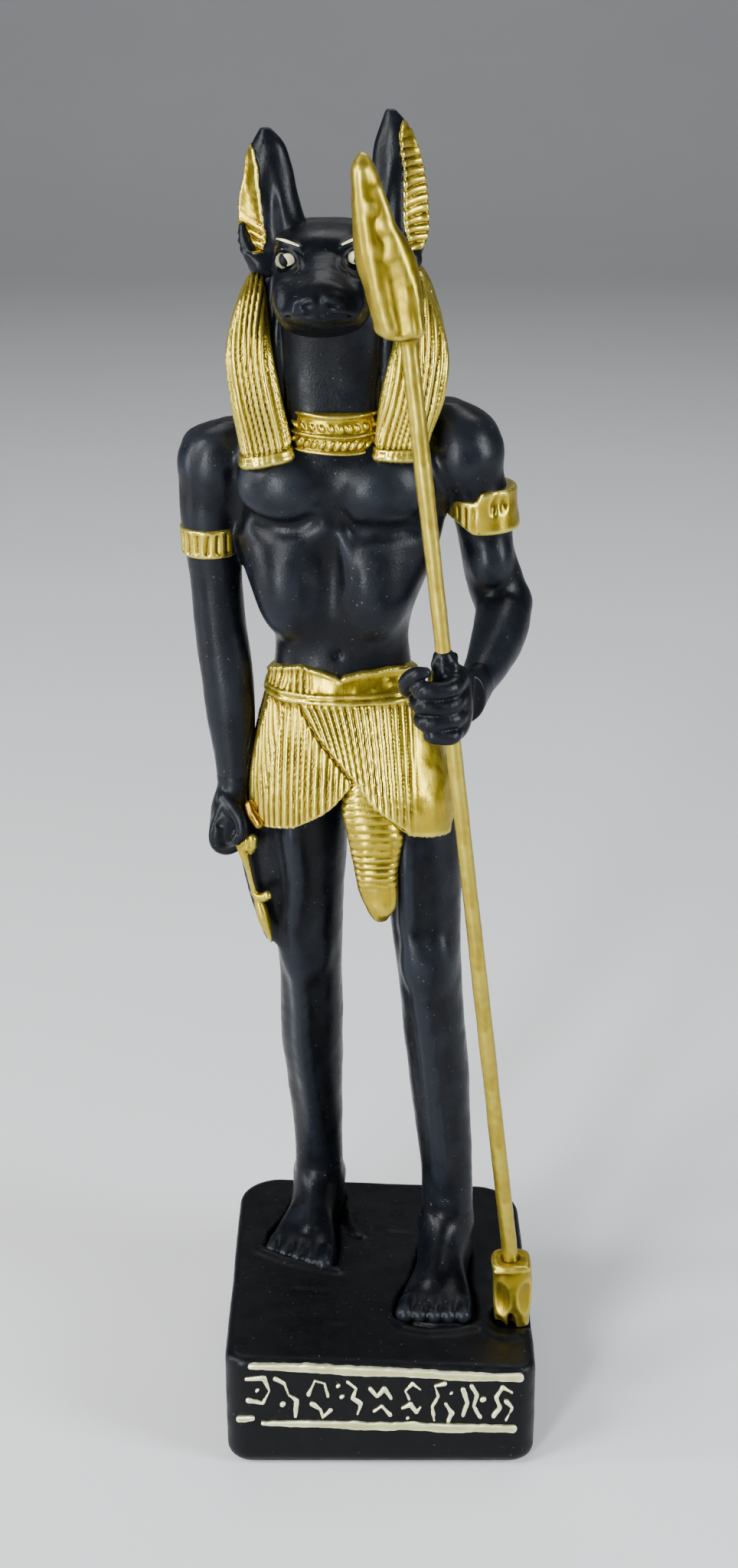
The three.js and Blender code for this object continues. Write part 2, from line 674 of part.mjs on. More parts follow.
function staff() {
  const rod = staffForm([
    [staffBottom + 1, 0, rodRadius * 1.05, rodRadius * 1.05],
    [staffBottom / 2, 0, rodRadius, rodRadius],
    [0, 0, rodRadius, rodRadius],
    [staffTopAboveGrip - staffHeadHeight - 2, 0, rodRadius, rodRadius],
    [staffTopAboveGrip - staffHeadHeight + 1, 0, rodRadius * 1.25, rodRadius * 1.25],
  ], 12, 2, 1);
  const base = staffTopAboveGrip - staffHeadHeight;
  const w = staffHeadHalfWidth;
  const d = staffHeadHalfDepth;
  const up = (share) => base + share * staffHeadHeight;
  const skull = staffForm([
    [up(0), -0.7, w * 0.55, d * 0.6],
    [up(0.03), -0.65, w * 0.8, d * 0.85],
    [up(0.1), -0.7, w * 0.88, d * 0.95],
    [up(0.25), -0.8, w * 0.97, d],
    [up(0.5), -1.3, w, d],
    [up(0.62), -1.7, w * 0.76, d * 0.95],
    [up(0.8), -1.95, w * 0.52, d * 0.8],
    [up(0.94), -2.05, w * 0.36, d * 0.6],
    [up(1), -2.0, w * 0.14, d * 0.25],
  ], 14, 2.3, 1);
  const ridges = [[-1.9, 0.12, -2.5, 0.9, 0.5], [0.2, 0.08, -0.4, 0.5, 0.55]].map(([x0, s0, x1, s1, r]) => {
    const rows = Array.from({ length: 5 }, (_, i) => {
      const t = i / 4;
      const share = lerp(s0, s1, t);
      const swell = Math.sin(Math.PI * clamp(t * 0.9 + 0.05, 0, 1));
      return [up(share), lerp(x0, x1, t), r * (0.4 + 0.6 * swell), r * (0.4 + 0.6 * swell)];
    });
    const rings = rows.map(([rise, across, a, b]) => (
      evenOval(a, b, 2, 6).map(({ point }) => staffPoint(rise, across + point.x, point.y - d * 0.75))
    ));
    return solidOf(skin(rings));
  });
  // The fork's front is hollowed between its two prongs.
  const hollow = (across) => {
    const ball = new THREE.SphereGeometry(1, 10, 6);
    ball.rotateX(Math.PI / 2);
    ball.scale(staffForkHalfWidth * 0.42, staffForkHalfDepth * 0.5, staffForkHeight * 0.34);
    const at = staffPoint(staffBottom + staffForkHeight * 0.4, across, -staffForkHalfDepth);
    ball.translate(at.x, at.y, at.z);
    return solidOf(ball);
  };
  const fork = staffFork()
    .subtract(hollow(-staffForkHalfWidth * 0.5))
    .subtract(hollow(staffForkHalfWidth * 0.5));
  return joined([rod, skull, ...ridges, fork]).subtract(ground(seatGap - seatDepth));
}

// The passage that the fist leaves for the rod.
function gripBore() {
  const r = rodRadius + gripGap;
  const reach = 8 * figureScale;
  return staffForm([[-reach, 0, r, r], [reach, 0, r, r]], 12, 2, 1);
}

function figure() {
  const body = joined([
    ...torso(),
    ...hangingArm(),
    ...bentArm(),
    ...legs(),
    ...rightFoot(0),
    ...leftFoot(0),
    ...head(),
    ...ears(),
    ...wig(),
    ...collar(),
    ...armlets(),
    ...kilt(),
    ...ankh(),
  ]);
  return body.subtract(gripBore()).subtract(ground(seatGap - seatDepth));
}

// Plinth

// Round the plinth's plan, drawn in by `inset`, with tighter corners at the front.
function plan(inset) {
  const w = plinthWidth / 2 - inset;
  const d = plinthDepth / 2 - inset;
  const corners = [
    [1, 1, plinthBackCorner],
    [-1, 1, plinthBackCorner],
    [-1, -1, plinthFrontCorner],
    [1, -1, plinthFrontCorner],
  ];
  const points = [];
  corners.forEach(([sx, sy, radius], k) => {
    const r = Math.max(radius - inset, 0.2);
    for (let i = 0; i <= 5; i++) {
      const turn = (k * Math.PI) / 2 + (i / 5) * (Math.PI / 2);
      points.push([sx * (w - r) + Math.cos(turn) * r, sy * (d - r) + Math.sin(turn) * r]);
    }
  });
  return points;
}

function plinthBlock() {
  const rows = [];
  for (let i = 0; i <= 4; i++) {
    const turn = (i / 4) * (Math.PI / 2);
    rows.push([plinthFootInset * (1 - Math.sin(turn)), plinthFootRound * (1 - Math.cos(turn))]);
  }
  for (let i = 0; i <= 3; i++) {
    const turn = (i / 3) * (Math.PI / 2);
    const drop = plinthTopRound * (1 - Math.sin(turn));
    rows.push([plinthTopRound * (1 - Math.cos(turn)), plinthHeight - drop]);
  }
  const rings = rows.map(([inset, z]) => plan(inset).map(([x, y]) => {
    const slope = (topAt(x) - plinthHeight) * (z / plinthHeight);
    return new THREE.Vector3(x, y, z + slope);
  }));
  return solidOf(skin(rings));
}

// A bar of relief on the plinth's front, from its middle, length, angle and height.
function reliefBar(x, z, length, angle, wide) {
  const bar = new THREE.BoxGeometry(length, reliefProud * 3, wide);
  bar.rotateY(-angle);
  bar.translate(x, -plinthDepth / 2 + reliefProud * 0.5, z);
  return solidOf(bar);
}

// One row of shallow strokes that stand for carving: bowed, wavy and slanting marks, and dots.
// A mark is a chain of places [across, up], in units that share out the height of the row.
function inscription() {
  const groups = 9;
  const room = plinthWidth - 2 * plinthFrontCorner;
  const pitch = room / groups;
  const rowUnits = 4.2;
  const across = 0.86;
  const shapes = [
    [[[-1, 0.4], [-0.3, 1.2], [0.5, 1.1], [1, 0.3]], [[-0.5, -0.6], [0.4, -1]]],
    [[[-1, 0.9], [-0.4, 0.5], [0.3, 1], [1, 0.7]], [[-0.9, -0.4], [-0.2, -0.8], [0.9, -0.5]]],
    [[[-0.9, -1.2], [-0.5, 0.4]], [[-0.1, -1], [0.3, 0.9]], [[0.6, -0.5], [1, 1.1]]],
    [[[-0.6, 1.3], [0.6, 0.8], [0.9, -0.2], [0.3, -1.2]], [[-0.7, -0.7], [-0.3, -0.2]]],
  ];
  const bars = [];
  for (let g = 0; g < groups; g++) {
    const x = -room / 2 + (g + 0.5) * pitch;
    const upper = bandUpperHeight + bandUpperTilt * x;
    const lower = bandLowerHeight + bandLowerTilt * x;
    const z = (upper + lower) / 2;
    const unit = (upper - lower - bandLineHeight) / rowUnits;
    const flip = g % 3 === 1 ? -across : across;
    for (const mark of shapes[(g * 3) % shapes.length]) {
      for (let i = 1; i < mark.length; i++) {
        const [x0, z0] = mark[i - 1];
        const [x1, z1] = mark[i];
        const dx = (x1 - x0) * unit * flip;
        const dz = (z1 - z0) * unit;
        bars.push(reliefBar(
          x + ((x0 + x1) / 2) * unit * flip,
          z + ((z0 + z1) / 2) * unit,
          Math.hypot(dx, dz) + strokeWidth * 0.8,
          Math.atan2(dz, dx),
          strokeWidth,
        ));
      }
    }
  }
  return bars;
}

function plinth() {
  const lines = [
    reliefBar(0.4, bandUpperHeight, bandLength, Math.atan(bandUpperTilt), bandLineHeight),
    reliefBar(0.6, bandLowerHeight, bandLength * 0.95, Math.atan(bandLowerTilt), bandLineHeight),
  ];
  const block = joined([plinthBlock(), ...lines, ...inscription()]);
  const seats = [...rightFoot(seatGap), ...leftFoot(seatGap), staffFork(seatGap)];
  const sunk = joined(seats).subtract(ground(-seatDepth));
  return block.subtract(sunk);
}

const part = new THREE.Group();
part.add(meshOf("plinth", plinth(), black));
part.add(meshOf("figure", figure(), black));
part.add(meshOf("staff", staff(), gold));

export default part;
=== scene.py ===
import math

import bpy
import numpy as np
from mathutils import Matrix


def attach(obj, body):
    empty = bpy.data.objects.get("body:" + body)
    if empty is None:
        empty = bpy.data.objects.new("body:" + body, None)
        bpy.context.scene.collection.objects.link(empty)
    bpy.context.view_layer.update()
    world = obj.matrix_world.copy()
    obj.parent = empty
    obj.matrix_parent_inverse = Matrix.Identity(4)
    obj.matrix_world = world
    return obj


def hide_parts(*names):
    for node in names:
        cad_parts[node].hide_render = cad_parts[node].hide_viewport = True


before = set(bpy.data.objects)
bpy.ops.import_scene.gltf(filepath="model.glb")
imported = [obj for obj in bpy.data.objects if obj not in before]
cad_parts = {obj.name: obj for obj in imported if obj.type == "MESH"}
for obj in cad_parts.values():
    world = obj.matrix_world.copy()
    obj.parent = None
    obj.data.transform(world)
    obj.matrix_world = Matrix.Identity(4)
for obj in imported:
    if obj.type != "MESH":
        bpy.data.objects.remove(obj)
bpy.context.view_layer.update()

import openvdb
from mathutils import Vector

# Fields are sampled in millimetres: x and y as the CAD, and h upwards from the plinth's nominal top.
MM = 0.001
PLINTH_TOP = 12.0
PLINTH_WIDTH = 30.0
PLINTH_DEPTH = 32.5
PLINTH_FALL = 1.2
# The distance of empty space, and how far round a shape its distance is worked out
FAR = 9.0
REACH = 1.5


# Fields


class Field:
    """A block of space with its distance to the nearest surface, less than 0 inside."""

    def __init__(self, low, high, step, parts=()):
        self.low = np.array(low, np.float32)
        self.step = step
        self.axes = [np.arange(a, b + step, step, dtype=np.float32) for a, b in zip(low, high)]
        self.d = np.full([len(a) for a in self.axes], FAR, np.float32)
        self.build(parts)

    def build(self, parts):
        """Adds shapes in order, each with a blend before it; a blend less than 0 cuts the shape out."""
        for blend, (low, high, distance) in parts:
            sign, soft = (-1 if blend < 0 else 1), abs(blend)
            reach = REACH + soft
            spans = tuple(
                slice(int(np.searchsorted(axis, a - reach)), int(np.searchsorted(axis, b + reach)))
                for axis, a, b in zip(self.axes, low, high)
            )
            if self.d[spans].size:
                places = np.ix_(*(axis[span] for axis, span in zip(self.axes, spans)))
                self.d[spans] = sign * least(sign * self.d[spans], distance(*places), soft)

    def keep(self, distance, blend=0.0):
        """Keeps what is inside another distance."""
        self.d = -least(-self.d, -distance(*np.ix_(*self.axes)), blend)
        return self

    def relief(self, amount):
        """Moves the surface outwards by amount(x, y, h)."""
        self.d = self.d - amount(*np.ix_(*self.axes)).astype(np.float32)


def least(a, b, blend):
    """The smaller distance, rounded off over `blend` where the two are alike."""
    if blend <= 0:
        return np.minimum(a, b)
    near = np.maximum(blend - np.abs(a - b), 0) / blend
    return np.minimum(a, b) - near * near * (blend / 4)


def through(rows):
    """Smooth values between the rows of a table, by its first column."""
    table = np.array(sorted(rows), np.float64)
    t, values = table[:, 0], table[:, 1:]
    run = np.diff(t)[:, None]
    rise = np.diff(values, axis=0) / run
    inner = (rise[:-1] * run[1:] + rise[1:] * run[:-1]) / (run[1:] + run[:-1])
    slope = np.vstack([rise[:1], inner, rise[-1:]])

    def at(q):
        q = np.clip(q, t[0], t[-1])
        i = np.clip(np.searchsorted(t, q) - 1, 0, len(t) - 2)
        w = (t[i + 1] - t[i])[:, None]
        s = ((q - t[i]) / (t[i + 1] - t[i]))[:, None]
        a, b = values[i], values[i + 1]
        m, n = slope[i] * w, slope[i + 1] * w
        return (2 * s**3 - 3 * s**2 + 1) * a + (s**3 - 2 * s**2 + s) * m \
            + (3 * s**2 - 2 * s**3) * b + (s**3 - s**2) * n

    return at, t[0], t[-1]


def sections(rows):
    """A loft's rows by height: middle and half widths at any height."""
    return through([(h, x, y, a, b) for x, y, h, a, b in rows])[0]


def oval(u, v, a, b, power):
    """How far out a place is from the middle of a boxy oval, as a share of the way to its edge."""
    return (np.abs(u / a) ** power + np.abs(v / b) ** power) ** (1 / power)


def loft(rows, power=2.2, along="h", tip=0.3):
    """A body through stations [x, y, h, a, b, turn] of oval sections, stacked along h or y."""
    rows = [tuple(r) + (0,) * (6 - len(r)) for r in rows]
    key, other = (2, 1) if along == "h" else (1, 2)
    at, first, last = through([(r[key], r[0], r[other], *r[3:]) for r in rows])
    wide = max(max(r[3], r[4]) for r in rows)
    low = [min(r[k] for r in rows) - wide for k in range(3)]
    high = [max(r[k] for r in rows) + wide for k in range(3)]
    low[key], high[key] = first, last

    def distance(x, y, h):
        q, side_axis = (h, y) if along == "h" else (y, h)
        c0, c1, a, b, turn = [v.reshape(q.shape).astype(np.float32) for v in at(q.ravel()).T]
        u, v = x - c0, side_axis - c1
        if np.any(turn):
            cos, sin = np.cos(np.radians(turn)), np.sin(np.radians(turn))
            u, v = u * cos + v * sin, v * cos - u * sin
        a, b = np.maximum(a, 0.05), np.maximum(b, 0.05)
        r = np.maximum(np.hypot(u, v), 1e-3)
        k = np.hypot(u / a, v / b) if power == 2 else oval(u, v, a, b, power)
        side = r - r / np.maximum(k, 1e-3 / np.maximum(a, b))
        return -least(-side, -np.maximum(first - q, q - last), tip)

    return low, high, distance


def ball(centre, radii, turn=0.0):
    """An ellipsoid, turned about the vertical."""
    wide = max(radii)
    rx, ry, rz = radii
    cos, sin = math.cos(math.radians(turn)), math.sin(math.radians(turn))

    def distance(x, y, h):
        u, v, w = x - centre[0], y - centre[1], h - centre[2]
        u, v = u * cos + v * sin, v * cos - u * sin
        k = np.sqrt((u / rx) ** 2 + (v / ry) ** 2 + (w / rz) ** 2)
        g = np.sqrt((u / rx**2) ** 2 + (v / ry**2) ** 2 + (w / rz**2) ** 2)
        return k * (k - 1) / np.maximum(g, 1e-4)

    return [c - wide for c in centre], [c + wide for c in centre], distance


def rod(points, radii):
    """A chain of tapering round rods through places in space."""
    points = [np.array(p, float) for p in points]
    radii = radii if hasattr(radii, "__len__") else [radii] * len(points)
    wide = max(radii)

    def distance(x, y, h):
        best = None
        for p, q, r0, r1 in zip(points, points[1:], radii, radii[1:]):
            way = q - p
            u, v, w = x - p[0], y - p[1], h - p[2]
            t = np.clip((u * way[0] + v * way[1] + w * way[2]) / (way @ way), 0, 1)
            off = (u - t * way[0]) ** 2 + (v - t * way[1]) ** 2 + (w - t * way[2]) ** 2
            d = np.sqrt(off) - (r0 + (r1 - r0) * t)
            best = d if best is None else np.minimum(best, d)
        return best

    return np.min(points, axis=0) - wide, np.max(points, axis=0) + wide, distance


def bent(points, radii, parts=5):
    """A rod along a smooth curve through the places."""
    radii = radii if hasattr(radii, "__len__") else [radii] * len(points)
    rows = np.array([(*p, r) for p, r in zip(points, radii)], float)
    padded = np.vstack([2 * rows[0] - rows[1], rows, 2 * rows[-1] - rows[-2]])
    out = []
    for i in range(len(rows) - 1):
        p0, p1, p2, p3 = padded[i:i + 4]
        for t in np.arange(parts) / parts:
            out.append(0.5 * (2 * p1 + (p2 - p0) * t + (2 * p0 - 5 * p1 + 4 * p2 - p3) * t**2
                              + (3 * p1 - p0 - 3 * p2 + p3) * t**3))
    out.append(rows[-1])
    return rod([p[:3] for p in out], [p[3] for p in out])


ANYWHERE = (-99, 99)


def within(shape, x=ANYWHERE, y=ANYWHERE, h=ANYWHERE):
    """The part of a shape inside a box."""
    low, high, distance = shape
    spans = (x, y, h)

    def cropped(*place):
        d = distance(*place)
        for p, (a, b) in zip(place, spans):
            d = np.maximum(d, np.maximum(a - p, p - b))
        return d

    low = [max(v, span[0]) for v, span in zip(low, spans)]
    high = [min(v, span[1]) for v, span in zip(high, spans)]
    return low, high, cropped


def grown(shape, amount):
    """A shape grown by amount(x, y, h)."""
    low, high, distance = shape
    return low, high, lambda x, y, h: distance(x, y, h) - amount(x, y, h)


def front_of(field, x, h):
    """How far forward a field's surface is at a place across and up."""
    across, up = (x - field.low[0]) / field.step, (h - field.low[2]) / field.step
    i, k = int(across), int(up)
    u, w = across - i, up - k
    row = (field.d[i, :, k] * (1 - u) + field.d[i + 1, :, k] * u) * (1 - w)
    row = row + (field.d[i, :, k + 1] * (1 - u) + field.d[i + 1, :, k + 1] * u) * w
    j = max(int(np.argmax(row < 0)), 1)
    return float(field.axes[1][j - 1] + field.step * row[j - 1] / (row[j - 1] - row[j]))


def ramp(low, high, value):
    """A smooth rise from 0 at low to 1 at high."""
    t = np.clip((value - low) / (high - low), 0, 1)
    return t * t * (3 - 2 * t)


def bell(value, middle, width):
    """1 in the middle, dying away over about the width."""
    return np.exp(-((value - middle) / width) ** 2)


def wave(x, y, h, size, seed=0.0):
    """Soft uneven lumps between about -1 and 1, about `size` across."""
    x, y, h = (np.asarray(v, np.float64) / size for v in (x, y, h))
    turned = [
        0.80 * x + 0.48 * y + 0.36 * h + 7.31 * seed,
        -0.60 * x + 0.64 * y + 0.48 * h + 3.17 * seed,
        -0.60 * y + 0.80 * h + 5.23 * seed,
    ]
    cells = [np.floor(v) for v in turned]
    shares = [(v - c) ** 2 * (3 - 2 * (v - c)) for v, c in zip(turned, cells)]
    total = 0.0
    for corner in range(8):
        step = [corner & 1, corner >> 1 & 1, corner >> 2 & 1]
        weight, key = 1.0, seed
        for share, cell, one, prime in zip(shares, cells, step, (12.9898, 78.233, 37.719)):
            weight = weight * (share if one else 1 - share)
            key = key + (cell + one) * prime
        spread = np.sin(key) * 43758.5453
        total = total + weight * ((spread - np.floor(spread)) * 2 - 1)
    return 1.3 * total


def lumps(x, y, h, *waves):
    """Waves on top of each other, each from its height, size and seed."""
    return sum(height * wave(x, y, h, *rest) for height, *rest in waves)


def strands(run, pitch, sharp=0.7):
    """Rounded ridges with narrow grooves, from -1 in a groove to 0 on a ridge."""
    return np.abs(np.sin(math.pi * run / pitch)) ** sharp - 1


def box_run(u, v, a, b):
    """How far round a boxy section a place is, in millimetres from the middle of its front."""
    side = np.abs(u) / a > np.abs(v) / b
    reach = np.where(side, a + v + b, np.where(v < 0, np.abs(u), 2 * a + 2 * b - np.abs(u)))
    return np.sign(u) * reach


def between(rows):
    """Straight lines through pairs of numbers."""
    keys, values = zip(*sorted(rows))
    return lambda q: np.interp(q, keys, values)


# Meshes


# How often the vertices are moved onto the surface, and how far at most, in samples
SNAP_ROUNDS = 2
SNAP_LIMIT = 0.7


def surface(field):
    """Vertices and quads of the field's surface, in millimetres, facing out."""
    grid = openvdb.FloatGrid(FAR)
    grid.copyFromArray(field.d)
    points, quads = grid.convertToQuads(0.0)
    quads = quads.astype(np.int64)
    d, shape = field.d, np.array(field.d.shape)
    p = points.astype(np.float64)

    def sample(q):
        q = np.clip(q, 0, shape - 1.001)
        i = q.astype(np.int64)
        f = q - i
        total = 0.0
        for dx in (0, 1):
            for dy in (0, 1):
                for dz in (0, 1):
                    w = (f[:, 0] if dx else 1 - f[:, 0]) * (f[:, 1] if dy else 1 - f[:, 1]) \
                        * (f[:, 2] if dz else 1 - f[:, 2])
                    total = total + w * d[i[:, 0] + dx, i[:, 1] + dy, i[:, 2] + dz]
        return total

    for _ in range(SNAP_ROUNDS):
        g = np.stack([sample(p + e) - sample(p - e) for e in np.eye(3) * 0.5], axis=1)
        step = sample(p) / np.maximum((g * g).sum(axis=1), 0.2 * field.step**2)
        p = p - np.clip(step, -SNAP_LIMIT, SNAP_LIMIT)[:, None] * g
    verts = field.low + p * field.step
    a, b, c, e = (verts[quads[:, k]] for k in range(4))
    volume = (a * np.cross(b, c)).sum() + (a * np.cross(c, e)).sum()
    if volume < 0:
        quads = quads[:, ::-1]
    return verts, quads


def vertex_normals(verts, quads):
    a, b, c, d = (verts[quads[:, k]] for k in range(4))
    face = np.cross(c - a, d - b)
    out = np.zeros_like(verts)
    for k in range(4):
        for axis in range(3):
            out[:, axis] += np.bincount(quads[:, k], face[:, axis], len(verts))
    return out / np.maximum(np.linalg.norm(out, axis=1, keepdims=True), 1e-12)


def height_over_mean(verts, quads, rounds=8):
    """How far each vertex stands above its smoothed surroundings, in millimetres."""
    i, j = quads.ravel(), np.roll(quads, -1, axis=1).ravel()
    count = np.maximum(np.bincount(i, minlength=len(verts)), 1)
    soft = verts.copy()
    for _ in range(rounds):
        soft = np.stack([np.bincount(i, soft[j, k], len(verts)) / count for k in range(3)], axis=1)
    return ((verts - soft) * vertex_normals(verts, quads)).sum(axis=1)


def piece(name, field, material, slot, gilt=None, relief=None):
    """A Blender object from a field, with its gold mask and its ridges and hollows as attributes.

    gilt(x, y, h) is the mask, all gold where it is a number, and relief(x, y, h, normals) moves the
    surface along its normals.
    """
    verts, quads = surface(field)
    place = verts.T
    if relief:
        normals = vertex_normals(verts, quads)
        verts = verts + normals * np.asarray(relief(*place, normals))[:, None]
    mesh = bpy.data.meshes.new(name)
    mesh.vertices.add(len(verts))
    world = verts + np.array([0, 0, PLINTH_TOP])
    mesh.vertices.foreach_set("co", (world * MM).astype(np.float32).ravel())
    mesh.loops.add(quads.size)
    mesh.loops.foreach_set("vertex_index", quads.astype(np.int32).ravel())
    mesh.polygons.add(len(quads))
    mesh.polygons.foreach_set("loop_start", np.arange(0, quads.size, 4, dtype=np.int32))
    mesh.update(calc_edges=True)
    mesh.validate()
    mesh.polygons.foreach_set("use_smooth", np.ones(len(mesh.polygons), bool))
    mask = gilt(*place) if callable(gilt) else float(gilt or 0)
    for key, value in {"gilt": mask, "relief": height_over_mean(verts, quads)}.items():
        layer = mesh.attributes.new(key, "FLOAT", "POINT")
        layer.data.foreach_set("value", np.broadcast_to(value, len(verts)).astype(np.float32))
    mesh.materials.append(material)
    thing = bpy.data.objects.new(name, mesh)
    bpy.context.scene.collection.objects.link(thing)
    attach(thing, "root")
    return thing


# Figure

TRUNK = [
    (-3.2, 5.6, 55, 7.4, 5.6), (-3.6, 6, 63, 6.5, 4.7), (-3.7, 5.8, 66.6, 6.25, 4.3),
    (-4, 5.6, 69.8, 7.2, 4.6), (-4, 5.4, 73, 8.5, 5), (-3.9, 5.3, 77, 9.6, 5.2),
    (-3.9, 5.4, 81, 10.2, 5.2), (-3.9, 5.7, 84.4, 10, 4.6), (-4, 6.1, 86.8, 8.2, 3.9),
    (-4.2, 6.4, 88.4, 5.4, 3.4),
]
NECK = [
    (-4.2, 5.6, 83, 4.9, 4.4), (-4.3, 5.2, 88, 4.7, 4.3), (-4.25, 5.2, 92, 5, 4.3),
    (-4.4, 4.8, 97, 4.9, 4.4),
]
HANGING_ARM = [
    (-13.2, 6.4, 86.6, 1.2, 1.3), (-14.2, 6.4, 85.8, 2.6, 2.5), (-15.2, 6.3, 84, 3.1, 3.2),
    (-15.6, 6.2, 81, 2.9, 3.3), (-15.8, 6.1, 76, 2.5, 2.9), (-15.4, 6.2, 72, 2.4, 2.7),
    (-15.1, 6.3, 67.6, 2.4, 2.7), (-14.6, 6, 63, 2.5, 2.6), (-14.2, 5.6, 58, 2.25, 2.3),
    (-14, 5.2, 53.6, 1.8, 1.9), (-14, 4.9, 50.4, 1.6, 1.7), (-14.2, 4.7, 48, 1.8, 1.9),
]
UPPER_ARM = [
    (5.6, 5.9, 88.4, 1.3, 1.4), (6.6, 5.9, 87.3, 2.6, 2.6), (7.6, 5.8, 85, 3.3, 3.4),
    (8.1, 5.8, 81.6, 3.1, 3.4), (9, 5.8, 79, 2.85, 3.1), (9.7, 6, 75, 2.5, 2.8),
    (10.6, 6.4, 71.4, 2.75, 2.7), (11.3, 6.7, 69, 2.6, 2.3), (11.4, 6.6, 67.4, 1.5, 1.4),
]
FOREARM = [
    (11.6, 7.2, 69, 1.9, 2), (11.4, 5.2, 68.6, 2.5, 2.6), (10.8, 2, 67.6, 2.5, 2.6),
    (9.6, -2, 66.2, 2, 2.2), (8.4, -5, 65.2, 1.6, 1.9), (7.4, -7.4, 64.6, 1.7, 2.3),
]
RIGHT_LEG = [
    (-6.6, 6.4, 55, 4.3, 4.6), (-7.3, 6.6, 48, 4.2, 4.8), (-7.45, 6.9, 42.8, 4.05, 4.5),
    (-7.2, 7.2, 36.5, 3.5, 4), (-7, 7.3, 31.6, 3.1, 3.7), (-6.95, 8.2, 27, 3.15, 3.6),
    (-6.95, 9.1, 22.5, 3.15, 3.7), (-6.7, 10, 16, 2.8, 3.1), (-6.45, 10.9, 9, 2.5, 2.5),
    (-6.4, 11.3, 4, 2.5, 2.7), (-6.4, 11.4, 1.2, 2.4, 2.8),
]
LEFT_LEG = [
    (2.4, 4.4, 55, 3.7, 4.4), (3.5, 3.8, 48, 4.1, 4.8), (4, 3.3, 43.8, 3.85, 4.5),
    (4.45, 2.4, 37.5, 3.35, 3.9), (4.8, 2.1, 32.6, 3.1, 3.6), (5.2, 2.7, 28, 3.05, 3.6),
    (5.7, 3.3, 23, 3.05, 3.7), (6.3, 3.2, 16, 2.85, 3.2), (6.8, 2.7, 10, 2.6, 2.6), (6.9, 2.4, 4.6, 2.6, 2.7),
    (6.9, 2.4, 1.2, 2.4, 2.8),
]
# How boxy the limbs and feet are, 2 being an oval
LIMB_POWER = 2.1
FOOT_POWER = 2.3
# The thin web that ties the ankh to the thigh
WEB = [
    (-12.1, 4.3, 48.4, 2, 0.7), (-11.6, 4.2, 44, 1.9, 0.7), (-11.2, 4.1, 40, 1.5, 0.65),
    (-10.3, 4.3, 35.4, 1, 0.55),
]
# The hands and feet are pieces of their own, finer than the body. They start inside it, and each
# comes through its surface halfway along the overlap.
WRIST_CUT = -6.0
HAND_CUT = 51.0
ANKLE_CUT = 4.0
# A foot: the middle of its heel, its turn in degrees, the slant of its toes, and the big toe's side
RIGHT_FOOT = (-6, 15, 10, 0.26, 1)
LEFT_FOOT = (7, 5.2, 7, 0.04, -1)
# Along a foot from the heel: half width and height
FOOT_PROFILE = [
    (-0.4, 0.6, 1), (0, 1.5, 2.4), (0.9, 2.1, 3.7), (3.5, 2.45, 5.4), (5.4, 2.5, 5.2),
    (7.5, 2.75, 4.2), (10, 3.4, 2.9), (12.4, 3.75, 2.1), (13.6, 3.6, 1.75),
]
FOOT_LENGTH = 13.6
FOOT_SEAT = -0.7
TOE_SPACING = 1.42
# Folds under the chest, and the crest down each leg as places (x, h)
CHEST_FOLDS = [
    [(-13, 2.4, 79.5), (-11.6, 1, 78.4), (-9.9, 0.4, 77.8), (-8, 0.1, 77.8), (-6.4, 0, 78.6)],
    [(-3.9, 0, 79), (-3.2, 0, 78), (-2, 0, 77.5), (0.1, 0.1, 77.3), (2.8, 1, 77.6)],
]
RIGHT_CREST = [
    (-8.4, 53), (-8.5, 47.4), (-8.1, 42.4), (-8.6, 36.5), (-8, 31.4), (-7.7, 22.8), (-7, 15), (-6.5, 8.5),
]
LEFT_CREST = [(2.2, 51), (2.4, 45), (2.6, 39), (3.4, 35.4), (4.4, 28.2), (5.4, 18), (5.9, 13), (6.4, 8)]


def crest(rows, path, proud=0.7, radius=0.7, power=LIMB_POWER):
    """A soft ridge down the front of a loft, along places (x, h), sunk away at both ends."""
    at = sections(rows)
    points = []
    for i, (x, h) in enumerate(path):
        cx, cy, a, b = at(np.array([h], float))[0]
        share = min(abs(x - cx) / a, 0.97)
        lift = proud if 0 < i < len(path) - 1 else -0.5
        points.append((x, cy - b * (1 - share**power) ** (1 / power) + radius - lift, h))
    return bent(points, radius, 3)


